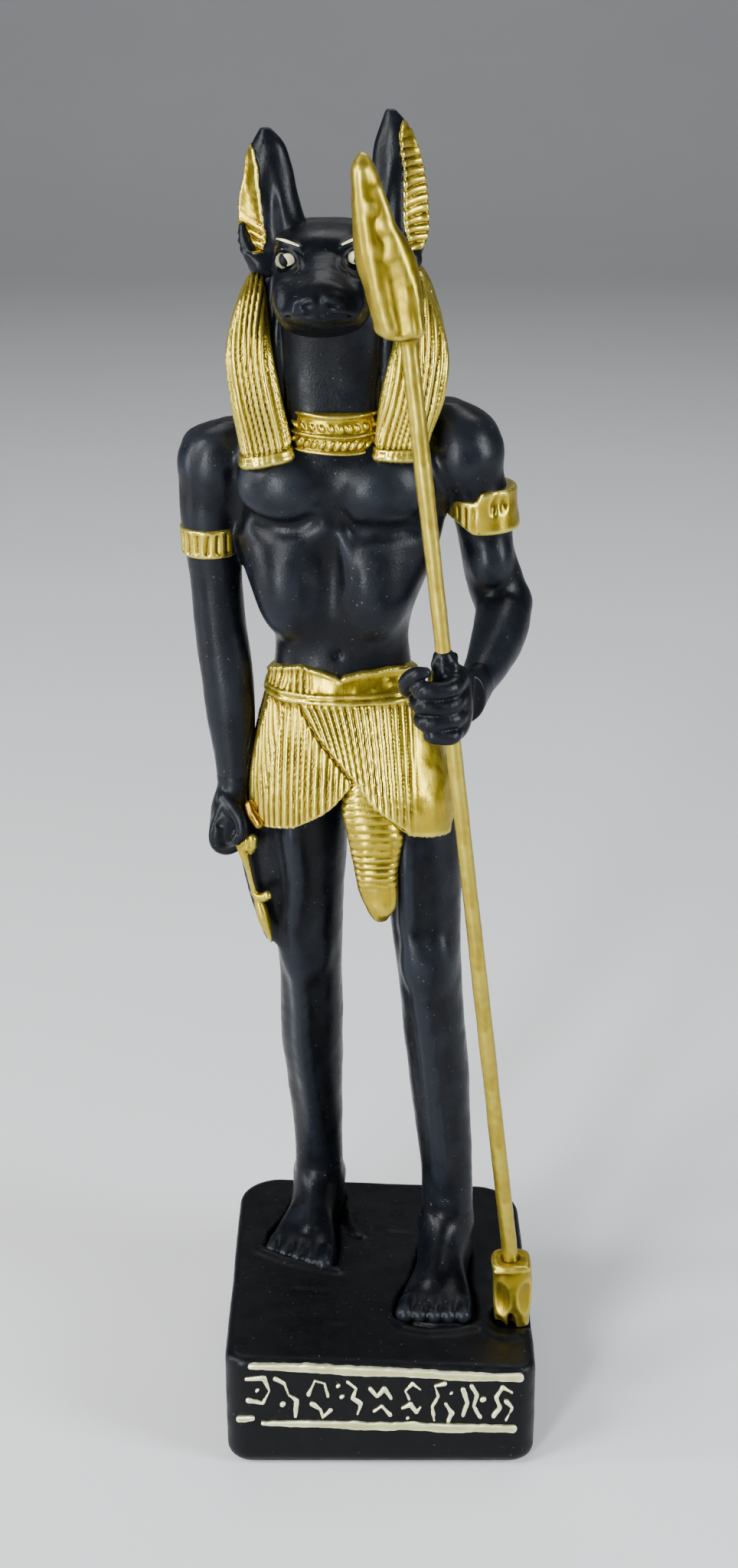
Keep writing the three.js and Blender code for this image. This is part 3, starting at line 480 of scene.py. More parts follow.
def body():
    parts = [
        (0, within(loft(TRUNK, 2.4), h=(58, 99))),
        # Chest: two broad muscles, joined at the top, with a dark curved fold under each
        (0.9, ball((-8.7, 2.2, 81.5), (4.6, 3.3, 3.7), -8)),
        (0.9, ball((-0.1, 1.9, 81.5), (4.6, 3.3, 3.7), 8)),
        (1.4, ball((-4.4, 2.3, 83.2), (3.2, 2.6, 3.2))),
        *((-1.3, bent(fold, [0.4, 0.62, 0.68, 0.62, 0.4])) for fold in CHEST_FOLDS),
        # Belly: a column each side of a long dark hollow, and a thin raised midline
        (2.4, ball((-8.8, 2.3, 72.2), (2.5, 2.6, 4.6))),
        (2.4, ball((-0.6, 2.2, 72.2), (3, 2.7, 4.6))),
        (-1.7, ball((-4.75, -1.05, 73.4), (1.6, 2, 3.8))),
        (0.9, bent([(-4, 1, 79.4), (-3.3, 0.6, 76.6), (-2.9, 0.65, 73.6), (-2.8, 1.3, 71)], 0.36)),
        # The back, plainer: shoulder blades and the furrow of the spine, then the navel at the front
        (1.6, ball((-8.4, 9.6, 80.4), (2.8, 1.3, 3.4))),
        (1.6, ball((0.4, 9.6, 80.4), (2.8, 1.3, 3.4))),
        (-1.6, bent([(-4, 11.3, 82), (-3.9, 10.8, 75), (-3.7, 10.6, 67)], [0.4, 0.55, 0.4])),
        (-0.4, ball((-4, 1.35, 65.7), (0.34, 0.7, 0.42))),
        (1.0, loft(NECK, 3.2)),
        (1.2, within(loft(HANGING_ARM, LIMB_POWER), h=(HAND_CUT, 99))),
        (1.0, loft(UPPER_ARM, LIMB_POWER)),
        (1.2, loft(FOREARM, LIMB_POWER, "y")),
        # Shoulder caps, the bent arm's outer muscle and the line between arm and chest
        (1.2, ball((-15.2, 4.6, 82.8), (2.6, 2, 3.2))),
        (1.2, ball((7.4, 4, 83.8), (2.9, 2.4, 3.2), 12)),
        (0.9, ball((10, 4.2, 73.8), (1.8, 1.6, 2.2))),
        (-1.4, bent([(-13.1, 2.4, 82.4), (-12.9, 2.7, 80), (-12.9, 3.4, 77.6)], [0.3, 0.45, 0.4])),
    ]
    # Legs, with the top of each foot, a crest down each from the thigh to the ankle, and the knees
    for rows, numbers in ((RIGHT_LEG, RIGHT_FOOT), (LEFT_LEG, LEFT_FOOT)):
        top, _ = foot_shape(*numbers)
        parts += [(0.6, within(loft(rows, LIMB_POWER), h=(0, 54.4))), (1.8, top), (1.4, instep(numbers))]
    parts += [
        (1.3, crest(RIGHT_LEG, RIGHT_CREST)),
        (1.3, crest(LEFT_LEG, LEFT_CREST)),
        (2.0, ball((-7.5, 4.3, 34.4), (1.9, 1.1, 2.4))),
        (2.0, ball((4.5, -0.8, 35.2), (1.9, 1.1, 2.4))),
        (1.4, loft(WEB, 3)),
    ]
    return Field((-19.4, WRIST_CUT, ANKLE_CUT), (15, 15.6, 96.6), 0.345, parts)


def body_relief(x, y, h, n):
    """Slight lumps, smooth where the hands and feet come through."""
    hand = ramp(54, 56, h) + ramp(-11, -9, x)
    clear = ramp(9.5, 12, h) * ramp(-4.6, -3.2, y) * np.minimum(hand, 1)
    return clear * lumps(x, y, h, (0.05, 3.1), (0.02, 1.4, 4))


def overlap(value, slope, low=-0.16):
    """How far a hand or foot is sunk in its limb, less than 0, or at last stands a little out of it."""
    return np.clip(value * slope, low, 0.04)


def fist():
    """The hand round the staff, with the end of its forearm."""
    # Finger rolls: height, right end, left end, radius and sag
    rolls = [
        (66.95, 6.3, 2.7, 0.86, 0), (65.5, 6.4, 2.6, 0.86, 0.12), (64.05, 6.6, 2.95, 0.84, -0.1),
        (62.75, 6.4, 3.9, 0.8, 0.1),
    ]
    wrist = within(loft(FOREARM, LIMB_POWER, "y"), y=(-7.3, -3.8))
    parts = [
        (0, grown(wrist, lambda x, y, h: overlap(-4.9 - y, 0.14))),
        (1.0, ball((6.4, -8.6, 64.5), (1.6, 2.4, 3.3), 12)),
        (0.7, ball((5.9, -7.9, 66.4), (1.9, 1.9, 1.7), 20)),
    ]
    for h, right, left, radius, sag in rolls:
        # Knuckle, front of the roll, and the tip curled back to the palm
        middle = (right + left) / 2
        path = [
            (right + 0.5, -9.2, h + 0.25), (right - 0.1, -10.9, h + 0.12), (middle + 0.8, -11.7, h - sag),
            (middle - 0.7, -11.8, h + sag), (left + 0.5, -11.0, h - 0.05), (left + 0.45, -9.9, h + 0.05),
        ]
        parts.append((0.2, bent(path, [radius * share for share in (0.92, 1.02, 0.9, 0.98, 0.94, 0.8)], 3)))
    thumb = [
        (3.6, -8.4, 65.4), (2.3, -9.5, 66.3), (2.15, -10.6, 67.3), (2.8, -11.3, 68.2), (3.7, -11.5, 68.5),
    ]
    palm = [(7, -9.6, 65.2), (7.2, -10, 63.9), (6.7, -10.4, 62.6), (5.7, -10.6, 62)]
    cuff = [(5.7, -9.2, 67.2), (5.5, -9.3, 68.2), (5.35, -9.4, 69.1)]
    drips = [
        (4.6, -9.8, 68.6, 0.4), (6.2, -9.9, 68.5, 0.42), (5.3, -10.2, 68.2, 0.4), (6.3, -8.8, 69, 0.34),
    ]
    parts += [
        # Thumb: up from the palm and hooked over the first finger's end
        (0.16, bent(thumb, [0.8, 0.82, 0.76, 0.7, 0.5], 4)),
        (-0.22, bent([(2.9, -12, 66.9), (3.1, -12.2, 67.6), (3.8, -12.2, 67.9)], 0.16)),
        # The palm's edge behind the little finger, and a ragged cuff of resin where the rod goes in
        (0.25, bent(palm, [0.5, 0.62, 0.6, 0.4], 4)),
        (0.5, bent(cuff, [1.5, 1.2, 0.98], 3)),
        *((0.3, ball((x, y, h), (r, r, r * 1.3))) for x, y, h, r in drips),
    ]
    return Field((1.2, -13, 60.6), (11, -3.4, 70.2), 0.14, parts)


def ankh_hand():
    """The hanging hand, curled round the head of the ankh."""
    wrist = within(loft(HANGING_ARM, LIMB_POWER), h=(48.2, 54))
    parts = [
        (0, grown(wrist, lambda x, y, h: overlap(52.6 - h, 0.12))),
        (0.8, ball((-14.4, 4.4, 48.7), (1.9, 2.4, 2.8))),
        (0.6, ball((-14.7, 4.4, 47), (1.7, 2.3, 1.9))),
    ]
    for i in range(4):
        y, h = 2.7 + i * 1.2, 47.0 - i * 0.14
        finger = [
            (-15.0, y + 0.3, h + 2.6), (-15.65, y, h + 0.6), (-15.6, y - 0.05, h - 0.7),
            (-14.8, y - 0.1, h - 1.15), (-13.8, y - 0.1, h - 0.7), (-13.5, y - 0.1, h + 0.4),
        ]
        parts.append((0.2, bent(finger, [0.7, 0.78, 0.76, 0.74, 0.68, 0.6], 3)))
    # Thumb down the front, and the crease round the ball of the thumb
    thumb = [
        (-14.9, 3.4, 50.6), (-14, 2.5, 49.9), (-13.3, 1.9, 49), (-13.2, 1.6, 47.9), (-13.7, 1.6, 47.1),
    ]
    crease = [(-15.4, 2, 48.4), (-14.8, 1.6, 49.1), (-14.3, 1.6, 48.4), (-14.4, 1.7, 47.3)]
    parts += [
        (0.25, bent(thumb, [0.7, 0.8, 0.78, 0.7, 0.58], 4)),
        (-0.3, bent(crease, [0.2, 0.3, 0.34, 0.26])),
    ]
    return Field((-18.4, -0.2, 43.6), (-10.4, 9.2, 55.4), 0.13, parts)


def foot_shape(x, y, turn, slant, mirror):
    """A bare foot from the middle of its heel: its shape, and a function for places on it."""
    cos, sin = math.cos(math.radians(turn)), math.sin(math.radians(turn))
    at, first, last = through(FOOT_PROFILE)

    def distance(px, py, h):
        u, v = px - x, py - y
        side, run, rise = u * cos - v * sin, -u * sin - v * cos, h - FOOT_SEAT
        run = run - side * mirror * slant * np.clip(run / FOOT_LENGTH, 0, 1)
        half, high = (np.maximum(v, 0.3).reshape(run.shape) for v in at(run.ravel()).T)
        r = np.maximum(np.hypot(side + 0 * rise, rise + 0 * side), 1e-3)
        d = r - r / np.maximum(oval(side, rise, half, high, FOOT_POWER), 0.02)
        return -least(-d, -np.maximum(first - run, run - last), 0.4)

    def spot(side, run, rise):
        """A place in space from the foot's own directions."""
        return x + side * cos - run * sin, y - side * sin - run * cos, rise + FOOT_SEAT

    return ((x - 6.5, y - 16.5, -1.4), (x + 6.5, y + 1.5, 7), distance), spot


def instep(numbers):
    """The tendon down the top of a foot."""
    _, spot = foot_shape(*numbers)
    mirror = numbers[4]
    path = [spot(0, 3.2, 6.2), spot(mirror * 0.2, 7.0, 4.3), spot(mirror * 0.6, 10.6, 2.6)]
    return bent(path, [0.8, 0.8, 0.5])


def foot(numbers, leg):
    x, y, _, slant, mirror = numbers
    whole, spot = foot_shape(*numbers)
    parts = [(0, within(loft(leg, LIMB_POWER), h=(1.2, 7.6))), (1.8, whole), (1.4, instep(numbers))]
    # Ankle bones, then the toes with their nails and the grooves between them
    parts += [(1.2, ball(spot(side * 1.75, 2.6, 4.6), (0.8, 1.1, 0.9))) for side in (-1, 1)]
    for i in range(-2, 3):
        across = i * TOE_SPACING
        root = 13.2 + across * mirror * slant - abs(i - mirror * 0.7) * 0.12
        radius = 0.96 if mirror * i == 2 else 0.78
        toe = [spot(across * 0.99, root - 0.6, 1.15), spot(across, root + 0.95, 1.05)]
        nail = spot(across, root + 1.25, 1.05 + radius)
        parts += [
            (0.5, rod(toe, [radius * 0.84, radius * 0.96])),
            (-0.12, ball(nail, (radius * 0.6, 0.45, 0.14))),
        ]
        if i < 2:
            side, at = across + TOE_SPACING / 2, root + 0.5 * TOE_SPACING * mirror * slant
            groove = [spot(side, at + 0.1, 2.1), spot(side, at + 1.7, 1.4)]
            parts.append((-0.35, rod(groove, [0.08, 0.24])))
    field = Field((x - 6, y - 16.6, -1.0), (x + 6, y + 1.6, 8.4), 0.17, parts)
    field.relief(lambda x, y, h: overlap(6.0 - h, 0.14, -0.24))
    return field.keep(lambda x, y, h: -0.4 - h + 0 * (x + y))


SKULL = [
    (-4.6, 10.6, 98.6, 4, 4, 0), (-4.8, 8, 99.4, 4.6, 4.6, 0), (-4.9, 4, 99.9, 4.5, 4.5, 2),
    (-5, 1, 99.8, 4.4, 4.5, 3), (-5.05, -0.6, 99.55, 4.25, 4.25, 3), (-5.1, -1.5, 99.3, 4.1, 3.9, 3),
    (-5.1, -2.4, 98.9, 4, 3.1, 2), (-5.1, -3.8, 98.7, 3.3, 2.1, 0),
]
SNOUT = [
    (-5.15, -0.8, 98.6, 4.1, 3.2), (-5.15, -2.6, 98.75, 3.85, 2.8), (-5.1, -4.6, 98.85, 3.4, 2.2),
    (-5, -6.2, 98.85, 2.85, 1.75), (-4.95, -7.6, 98.7, 2.3, 1.35),
]
FACE_MIDDLE = -5.2
# The left side of the face sits a little higher than the right
FACE_TILT = 0.035
EYE_ACROSS = 2.98
EYE_HEIGHT = 101.88
# Marks on each side of the face: blend, radii, how far out of the surface, and places (across, height)
FACE_MARKS = [
    # Brow, eye socket, the fold above the lid and the lid
    (0.4, [0.28, 0.36, 0.36, 0.26], 0.0, [(3.95, 103.1), (3.35, 103.25), (2.65, 103.1), (1.8, 102.8)]),
    (-0.35, (1.25, 0.75, 1.02), 0.1, [(EYE_ACROSS, EYE_HEIGHT)]),
    (-0.2, 0.13, 0.12, [(3.9, 102.9), (2.9, 102.98), (1.9, 102.6)]),
    (0.2, [0.14, 0.2, 0.2, 0.18, 0.16, 0.1], 0.0, [
        (3.7, 102.72), (2.95, 102.85), (2.2, 102.55), (1.75, 102), (1.65, 101.4), (2.4, 100.95),
    ]),
    # Cheek, nostril's wing, nostril, lip and mouth
    (1.2, [0.4, 0.5, 0.4], -0.2, [(3.1, 100), (3.2, 98.8), (2.9, 97.9)]),
    (0.8, [0.2, 0.26, 0.16], -0.16, [(0.7, 99.5), (1.3, 99.4), (1.9, 99.2)]),
    (-0.3, [0.06, 0.13, 0.05], 0.04, [(0.7, 99.2), (1.3, 98.98), (1.9, 98.95)]),
    (0.8, [0.1, 0.2, 0.12], -0.12, [(1.4, 98.55), (2.2, 98.45), (2.9, 98.15)]),
    (-0.35, [0.06, 0.1, 0.1, 0.05], 0.05, [(0, 98.3), (1, 98.25), (2.1, 98.15), (3, 97.9)]),
]
# The pale line along the top of each brow: pale paint, and a painted highlight
BROW_LINE = [(3.9, 103.34), (3.3, 103.52), (2.65, 103.38), (1.85, 103.08)]


def on_face(face, way, marks, lift=0.0):
    """Places on the face from (across, height), lifted forward off its surface."""
    path = []
    for across, height in marks:
        x, h = FACE_MIDDLE + way * across, height + FACE_TILT * way * across
        path.append((x, front_of(face, x, h) - lift, h))
    return path


def head():
    field = Field((-10.8, -8.4, 93.6), (0.8, 9, 105.6), 0.135, [
        (0, loft(SKULL, 3.2, "y")),
        (0.8, loft(SNOUT, 2.4, "y", tip=1.3)),
        (1.8, bent([(-5.2, -0.4, 101.7), (-5.1, -3, 100.6), (-5, -5.6, 99.4)], [1.5, 1.3, 1.1])),
        (1.0, ball((-4.95, -6.3, 99.5), (1.8, 0.9, 0.8))),
    ])
    details = []
    for way in (-1, 1):
        for blend, radii, lift, marks in FACE_MARKS:
            path = on_face(field, way, marks, lift)
            details.append((blend, bent(path, radii) if len(path) > 1 else ball(path[0], radii)))
    field.build(details)
    return field


def head_relief(x, y, h, n):
    return ramp(1, -1, y) * lumps(x, y, h, (0.045, 2.4, 2), (0.016, 0.9, 5)) + 0.03 * wave(x, y, h, 2.8, 3)


def eyes(face):
    """Painted eyeballs and the thin pale line along each brow, part pale paint and part painted highlight,
    set in the face's surface.
    """
    parts = []
    for way in (-1, 1):
        x, y, h = on_face(face, way, [(EYE_ACROSS, EYE_HEIGHT)])[0]
        line = bent(on_face(face, way, BROW_LINE, -0.03), [0.07, 0.12, 0.14, 0.12], 4)
        parts += [(0, ball((x, y + 0.3, h), (1.04, 0.72, 0.98))), (0, line)]
    return Field((-9.9, -3.8, 100.2), (-0.4, 0.8, 104.4), 0.08, parts)


EYE_TOP = [(-0.88, -0.12), (-0.7, 0.42), (-0.45, 0.64), (0, 0.76), (0.5, 0.74), (0.8, 0.45), (0.9, 0)]
EYE_BOTTOM = [
    (-0.88, -0.14), (-0.5, -0.34), (-0.1, -0.55), (0.3, -0.76), (0.55, -0.78), (0.8, -0.45), (0.9, 0),
]
eye_top = between(EYE_TOP)
eye_bottom = between(EYE_BOTTOM)


def eye_gold(x, y, h):
    """A pale eye with a grey outer part and a dark leaning pupil; the brow lines are pale too, as pale paint
    and as a painted highlight.
    """
    way = np.where(x < FACE_MIDDLE, -1, 1)
    across = np.abs(x - FACE_MIDDLE)
    u, v = across - EYE_ACROSS, h - EYE_HEIGHT - FACE_TILT * way * across
    inside = ramp(0.0, 0.07, np.minimum(eye_top(u) - v, v - eye_bottom(u)))
    lean = (u - 0.15 - 0.33 * v) / (0.23 + 0.18 * np.clip(0.5 - v, 0, 1))
    pupil = ramp(0.9, 1.15, np.hypot(lean, (v - 0.1) / 0.47))
    inner = np.hypot((u + 0.2) / 0.62, (v - 0.1) / 0.52)
    line = ramp(0.16, 0.05, np.abs(inner - 1.06))
    pale = inside * pupil * (0.46 + 0.54 * ramp(1.08, 0.95, inner)) * (1 - 0.4 * line)
    # Above the eye, the brow line: pale paint and a painted highlight
    return np.where(v > 0.92, 0.7, pale)


LEFT_EAR = [
    (-10, 4.9, 99.7, 1, 0.9), (-9.85, 5, 100.8, 1.95, 1.4), (-9.9, 4.9, 102.2, 2.45, 1.65),
    (-9.7, 4.9, 104.2, 2.75, 1.8), (-9.8, 4.9, 106.8, 2.45, 1.6), (-9.8, 4.9, 109.2, 1.95, 1.3),
    (-9.8, 4.9, 111, 1.2, 0.9), (-10, 4.9, 112, 0.4, 0.35),
]
RIGHT_EAR = [
    (1.9, 4.9, 99.8, 0.9, 0.9), (1.7, 5, 101.2, 1.7, 1.2), (1.6, 4.9, 102.8, 2.35, 1.6),
    (1.5, 4.9, 105.4, 2.5, 1.8), (1.4, 4.9, 108.2, 2.3, 1.6), (1.2, 4.9, 110.6, 1.9, 1.3),
    (1, 4.9, 112.4, 1.1, 0.9), (0.7, 4.9, 113.5, 0.4, 0.35),
]
# Each ear's gold: height, where it starts across the front, and how far round the side it ends, in degrees
LEFT_SPLIT = [
    (101.7, -11.05, -52), (102.2, -10.55, -42), (102.9, -10.15, -27), (104, -10.25, -8), (105.2, -10.4, 8),
    (107.3, -10.71, 10), (108.8, -10.8, 10), (109.8, -11, 10), (110.5, -11.25, 6),
]
RIGHT_SPLIT = [
    (102.1, 2.95, -36), (103, 2.4, -14), (104.2, 1.95, -9), (105.7, 1.8, -6), (107, 1.9, 4),
    (108.7, 1.95, 10), (110.3, 1.75, 10), (111.4, 1.65, 10), (112.1, 1.75, 6), (112.5, 1.9, 0),
]
CUP_RADIUS = 4.0


def ear_cup(rows, splits, way):
    """The long shallow hollow on an ear's outer side, from the split on its front to its edge."""
    at = sections(rows)
    stations = []
    for h, split, round_side in splits:
        x, y, a, b = at(np.array([h]))[0]
        share = np.clip((split - x) / a, -0.98, 0.98)
        near = np.array([split, y - b * math.sqrt(1 - share**2)])
        turn = math.radians(round_side)
        far = np.array([x + way * a * math.cos(turn), y + b * math.sin(turn)])
        half = np.linalg.norm(far - near) / 2
        out = np.array([way * (far - near)[1], -way * (far - near)[0]]) / (2 * half)
        centre = (near + far) / 2 + out * math.sqrt(CUP_RADIUS**2 - half**2)
        stations.append((centre[0], centre[1], h, CUP_RADIUS, CUP_RADIUS))
    return loft(stations, 2, tip=0.05)


CUPS = [ear_cup(LEFT_EAR, LEFT_SPLIT, -1), ear_cup(RIGHT_EAR, RIGHT_SPLIT, 1)]


def ears():
    parts = []
    for rows, cup, way in ((LEFT_EAR, CUPS[0], -1), (RIGHT_EAR, CUPS[1], 1)):
        x, y, h = rows[1][:3]
        steps = [(1.2, -0.6, 5.2), (1.8, -0.9, 3.4), (3, -1.3, 2.2)]
        root = [(x - way * across, y + back, h + rise) for across, back, rise in steps]
        parts += [
            (0, loft(rows, 2, tip=0.15)),
            # The root that runs into the crown, and the black front pressed a little flat
            (1.2, bent(root, [0.7, 1.1, 1.2])),
            (-0.5, ball((x - way * 0.2, y - 5.4, h + 5.4), (1.7, 3.9, 7.6))),
            # The hollow, and the base that swells under it
            (-0.12, cup),
            (0.5, ball((x + way * 0.2, y - 1.0, h - 0.2), (1.6, 1.3, 1.3))),
        ]
    # A fold that wraps the lower end of the left ear's gold
    fold = [(-12.1, 4.3, 103.8), (-11.9, 3.9, 102.7), (-11.3, 3.6, 101.5), (-10.6, 3.4, 100.7)]
    parts.append((0.35, bent(fold, [0.3, 0.5, 0.72, 0.85])))
    return Field((-13, 1.8, 98.8), (4.9, 7.4, 113.9), 0.135, parts)


def in_cup(x, y, h):
    return np.maximum.reduce([ramp(0.2, 0.1, np.abs(distance(x, y, h))) for _, _, distance in CUPS])


def ear_gold(x, y, h):
    """Gold in the ears' hollows, ending on a slant at the foot of the left one."""
    foot = 101.6 + 1.2 * np.maximum(-11.1 - x, 0)
    return in_cup(x, y, h) * ramp(0, 0.12, h - foot)


def ear_ribs(x, y, h, n):
    left = x < FACE_MIDDLE
    slant = np.where(left, -0.5 * (x + 11), 0.16 * (x - 3)) + 0.2 * wave(x * 0.6, y, h, 2.0)
    ribs = strands(h - slant, np.where(left, 0.66, 0.8)) * (1 + 0.4 * wave(x, y, h, 1.3, 6))
    strong = np.where(left, ramp(105.2, 103.6, h) + 0.12, ramp(112, 109, h) * 0.5 + 0.5)
    hammered = 0.12 * wave(x, y, h, 1.2, 2) * np.where(left, ramp(103.4, 105, h), 0.4)
    return in_cup(x, y, h) * (0.24 * strong * ribs + hammered + 0.12)


WIG_MASS = [
    (-4.4, 6.8, 103.4, 3, 2.4), (-3.9, 6.8, 100.4, 7, 4.8), (-3.7, 6.7, 97, 8.6, 5.2),
    (-3.8, 6.6, 93.6, 9.4, 5.1), (-3.9, 7.3, 86, 8.2, 4.4), (-4, 8, 82.6, 7.4, 3.6),
]
LAPPETS = [
    [
        (-10.9, 3.9, 99.9, 0.5, 1.2), (-11.1, 3.8, 98.7, 0.95, 2.2), (-11.45, 3.4, 96.4, 1.5, 2.9),
        (-11.6, 2.6, 93.4, 1.95, 3), (-11.1, 2.1, 89.6, 2.15, 3), (-10.3, 1.7, 85.6, 2.25, 2.4),
        (-10.1, 1.5, 84.4, 2.25, 2.3), (-10, 1.3, 82.6, 2.45, 2.1),
    ],
    [
        (2.9, 3.9, 99.9, 0.6, 1.2), (3, 3.8, 98.6, 1, 2.2), (3.2, 3.4, 96.6, 1.7, 2.9),
        (3.3, 2.6, 93.6, 2.4, 3), (2.7, 2.1, 89.6, 2.75, 3), (1.8, 1.7, 85.8, 2.35, 2.4),
        (1.6, 1.5, 84.8, 2.3, 2.3), (1.4, 1.3, 82.9, 2.45, 2.1),
    ],
]


def section_run(rows):
    """The run round a loft's section for places near its surface."""
    at = sections(rows)

    def run(x, y, h):
        cx, cy, a, b = at(h.ravel()).T
        return box_run(x - cx, y - cy, a, b)

    return run


def wig_gold(x, y, h):
    """The paint stops short of the face and neck."""
    return 1 - ramp(-10.7, -10.3, x) * ramp(1.4, 1.0, x) * ramp(6.2, 5.6, y)


def wig_strands(x, y, h, n):
    """Strands that fall from the crown."""
    turn = np.arctan2((x + 3.9) / 1.8, y - 6.8)
    return 0.28 * strands(turn * 8.2 + 0.1 * wave(x, y, h * 0.5, 4), 0.9) + 0.1


def on_left(x):
    """Where the left lappet is, rather than the right."""
    return x < FACE_MIDDLE + 1


def lappet_end(x):
    """Height of the lappets' lower edges."""
    return np.where(on_left(x), 83.7 + 0.186 * (x + 12), 84.45 + 0 * x)


def lappets():
    parts = [(0, loft(rows, 3.2, tip=0.5)) for rows in LAPPETS]

    def uneven(x, y, h):
        return lappet_end(x) + 0.06 * np.sin(x * 3.1) + 0.03 * np.sin(x * 7) - h + 0 * y

    return Field((-14.6, -1.6, 82.6), (7, 7.2, 101.4), 0.124, parts).keep(uneven, 0.2)


def lappet_ridges(x, y, h):
    """The strands of both lappets, from -1 in a groove to 0 on a ridge."""
    left, right = (section_run(rows)(x, y, h) for rows in LAPPETS)
    run = np.where(on_left(x), left, right)
    run = run + 0.12 * np.sin(run * 1.9 + 0.6) + 0.09 * wave(x, y, h * 0.3, 2.2)
    return strands(run, 0.52, 0.8)


def lappet_strands(x, y, h, n):
    """Strands down to a seam, then the smooth hem with its rim."""
    rise = h - lappet_end(x) - 0.05 * wave(x, y, h, 1.7, 3)
    above = ramp(0.8, 1.1, rise)
    deep = 0.3 + 0.09 * wave(x, y, h * 0.3, 2.0, 4)
    ridge = deep * lappet_ridges(x, y, h) * (above + 0.1 * (1 - above))
    hem = (1 - above) * (0.08 + 0.08 * wave(x, y, h, 1.8, 7))
    return ridge + hem - 0.16 * bell(rise, 0.98, 0.12) + 0.15 * bell(rise, 0.12, 0.2) + 0.12


def lappet_gold(x, y, h):
    """The paint skips the deepest parts of some grooves."""
    above = ramp(0.9, 1.2, h - lappet_end(x))
    skipped = ramp(-0.55, -0.85, lappet_ridges(x, y, h)) * ramp(-0.3, 0.5, wave(x, y, h * 0.4, 2.4, 8))
    return 1 - 0.85 * skipped * above


COLLAR = [(-4.2, 4.3, 84.6, 4.75, 4.4), (-4.2, 4.4, 86.1, 4.75, 4.45), (-4.2, 4.6, 88.3, 4.6, 4.45)]


def collar_relief(x, y, h, n):
    """A row of beads over a row of petals, between three rims."""
    rise = h + 0.03 * (x + 4.2) - 0.012 * (x + 4.2) ** 2 + 0.05 * wave(x, y, h, 2.2)
    upper = np.abs(((x + 0.35 * (rise - 86.9)) / 0.82) % 1 - 0.5) * 2
    lower = np.abs(((x - 0.45 * (rise - 85.5)) / 0.7) % 1 - 0.5) * 2
    bead = ramp(0.95, 0.3, np.hypot(upper / 0.75, (rise - 87.0) / 0.42))
    petal = ramp(1.0, 0.35, np.hypot(lower / 0.8, (rise - 85.5) / 0.46))
    rims = bell(rise, 88.05, 0.2) + bell(rise, 86.28, 0.14) + bell(rise, 84.8, 0.17)
    height = 0.22 * bead + 0.22 * petal + 0.24 * rims - 0.14 + 0.02 * wave(x, y, h, 0.6)
    return ramp(0.1, -0.5, n[:, 1]) * height


def armlets():
    field = Field((-19.4, 1.6, 73.4), (13.8, 10.2, 81.4), 0.14, [
        (0, loft([(-15.75, 6.1, 74.3, 2.62, 3.1), (-15.8, 6.1, 76.9, 2.66, 3.2)], 2.1, tip=0.25)),
        (0, loft([(9.5, 5.85, 76.4, 3.1, 3.5), (9, 5.85, 81, 3.3, 3.6)], 2.1)),
    ])

    # The bent arm's band: low on its inner side, then a step up to the tall outer part
    def under(x, y, h):
        over = 79.2 + ramp(6.2, 6.9, x) * 0.5 + ramp(8.3, 9.2, x) * 0.95
        return np.where(x > 0, h - over, h - 90) + 0 * y

    def above(x, y, h):
        low = 77.8 - ramp(6.4, 8.6, x) * 1.1 + ramp(9, 12, x) * 0.15
        return np.where(x > 0, low - h, 70 - h) + 0 * y

    field.keep(under, 0.25).keep(above, 0.25).build([
        (-0.3, bent([(10.4, 2.5, 80.2), (10.2, 2.4, 79.4), (10.1, 2.4, 78.7)], [0.2, 0.36, 0.2])),
        (-0.4, ball((11.1, 2.7, 79.5), (0.4, 0.5, 0.7))),
    ])
    return field


def armlet_relief(x, y, h, n):
    left = x < 0
    run = np.where(left, np.arctan2(x + 15.8, 6.1 - y) * 2.9, np.arctan2(x - 9.3, 5.9 - y) * 3.2)
    middle = np.where(left, ramp(1.1, 0.8, np.abs(h - 75.6)), ramp(1.5, 1.0, np.abs(h - 78.0)))
    flutes = strands(run + 0.12 * wave(x, y, h, 2.0), np.where(left, 0.95, 0.8))
    deep = np.where(left, 0.24, 0.16 * ramp(8.9, 8.2, x))
    hammered = np.where(left, 0.05, 0.1) * wave(x, y, h, 1.5, 4)
    return ramp(0.8, 0.5, np.abs(n[:, 2])) * (deep * flutes * middle + hammered) + 0.05


KILT = [
    (-3.4, 5.8, 61.4, 7.2, 5.4, 0), (-3.15, 5.4, 57.1, 8.6, 6.4, -4), (-2.85, 5, 53, 9.65, 7.2, -8),
    (-2.65, 4.8, 48, 9.95, 7.45, -10), (-2.6, 4.75, 46, 10, 7.5, -10.5),
]
BELT = [
    (-3.4, 5.8, 60.5, 7.35, 5.55), (-3.4, 5.8, 61.2, 7.5, 5.7), (-3.6, 5.9, 62.6, 7.1, 5.3),
    (-3.75, 5.9, 65, 6.75, 4.95),
]
# Where the wrap's outer edge crosses the front: height, and place across
FOLD_X = [
    (62.1, -7.9), (60.6, -7.2), (58.2, -5.75), (56, -3.9), (54.3, -2.35), (52.1, -0.8), (50.7, 1),
    (49.8, 2.2), (49, 2.7), (45, 2.8),
]
# Height of the hem across the front, and at the back
HEM = [
    (-13.5, 48.4), (-11.7, 48.6), (-8.1, 49.5), (-5.4, 51.1), (-4.2, 52.2), (-2.6, 54.1), (-2.2, 54.1),
    (-0.6, 52), (1.2, 50.3), (2.5, 49.2), (4.6, 48.6), (7, 48),
]
HEM_BACK = 48.7
KILT_POWER = 2.4
# Height of the belt's upper edge across the front, and at the back
BELT_TOP = [
    (-10.8, 63.5), (-9.3, 64.2), (-7.4, 64.65), (-5.4, 64.15), (-4.1, 63.7), (-3.8, 63.45), (-3.4, 63.75),
    (-1.9, 64.15), (0.6, 64.35), (2.4, 64.1), (3.4, 63.6),
]
BELT_BACK = 62.9
# Height of the skirt's top, under the belt
SKIRT_TOP = 61.0
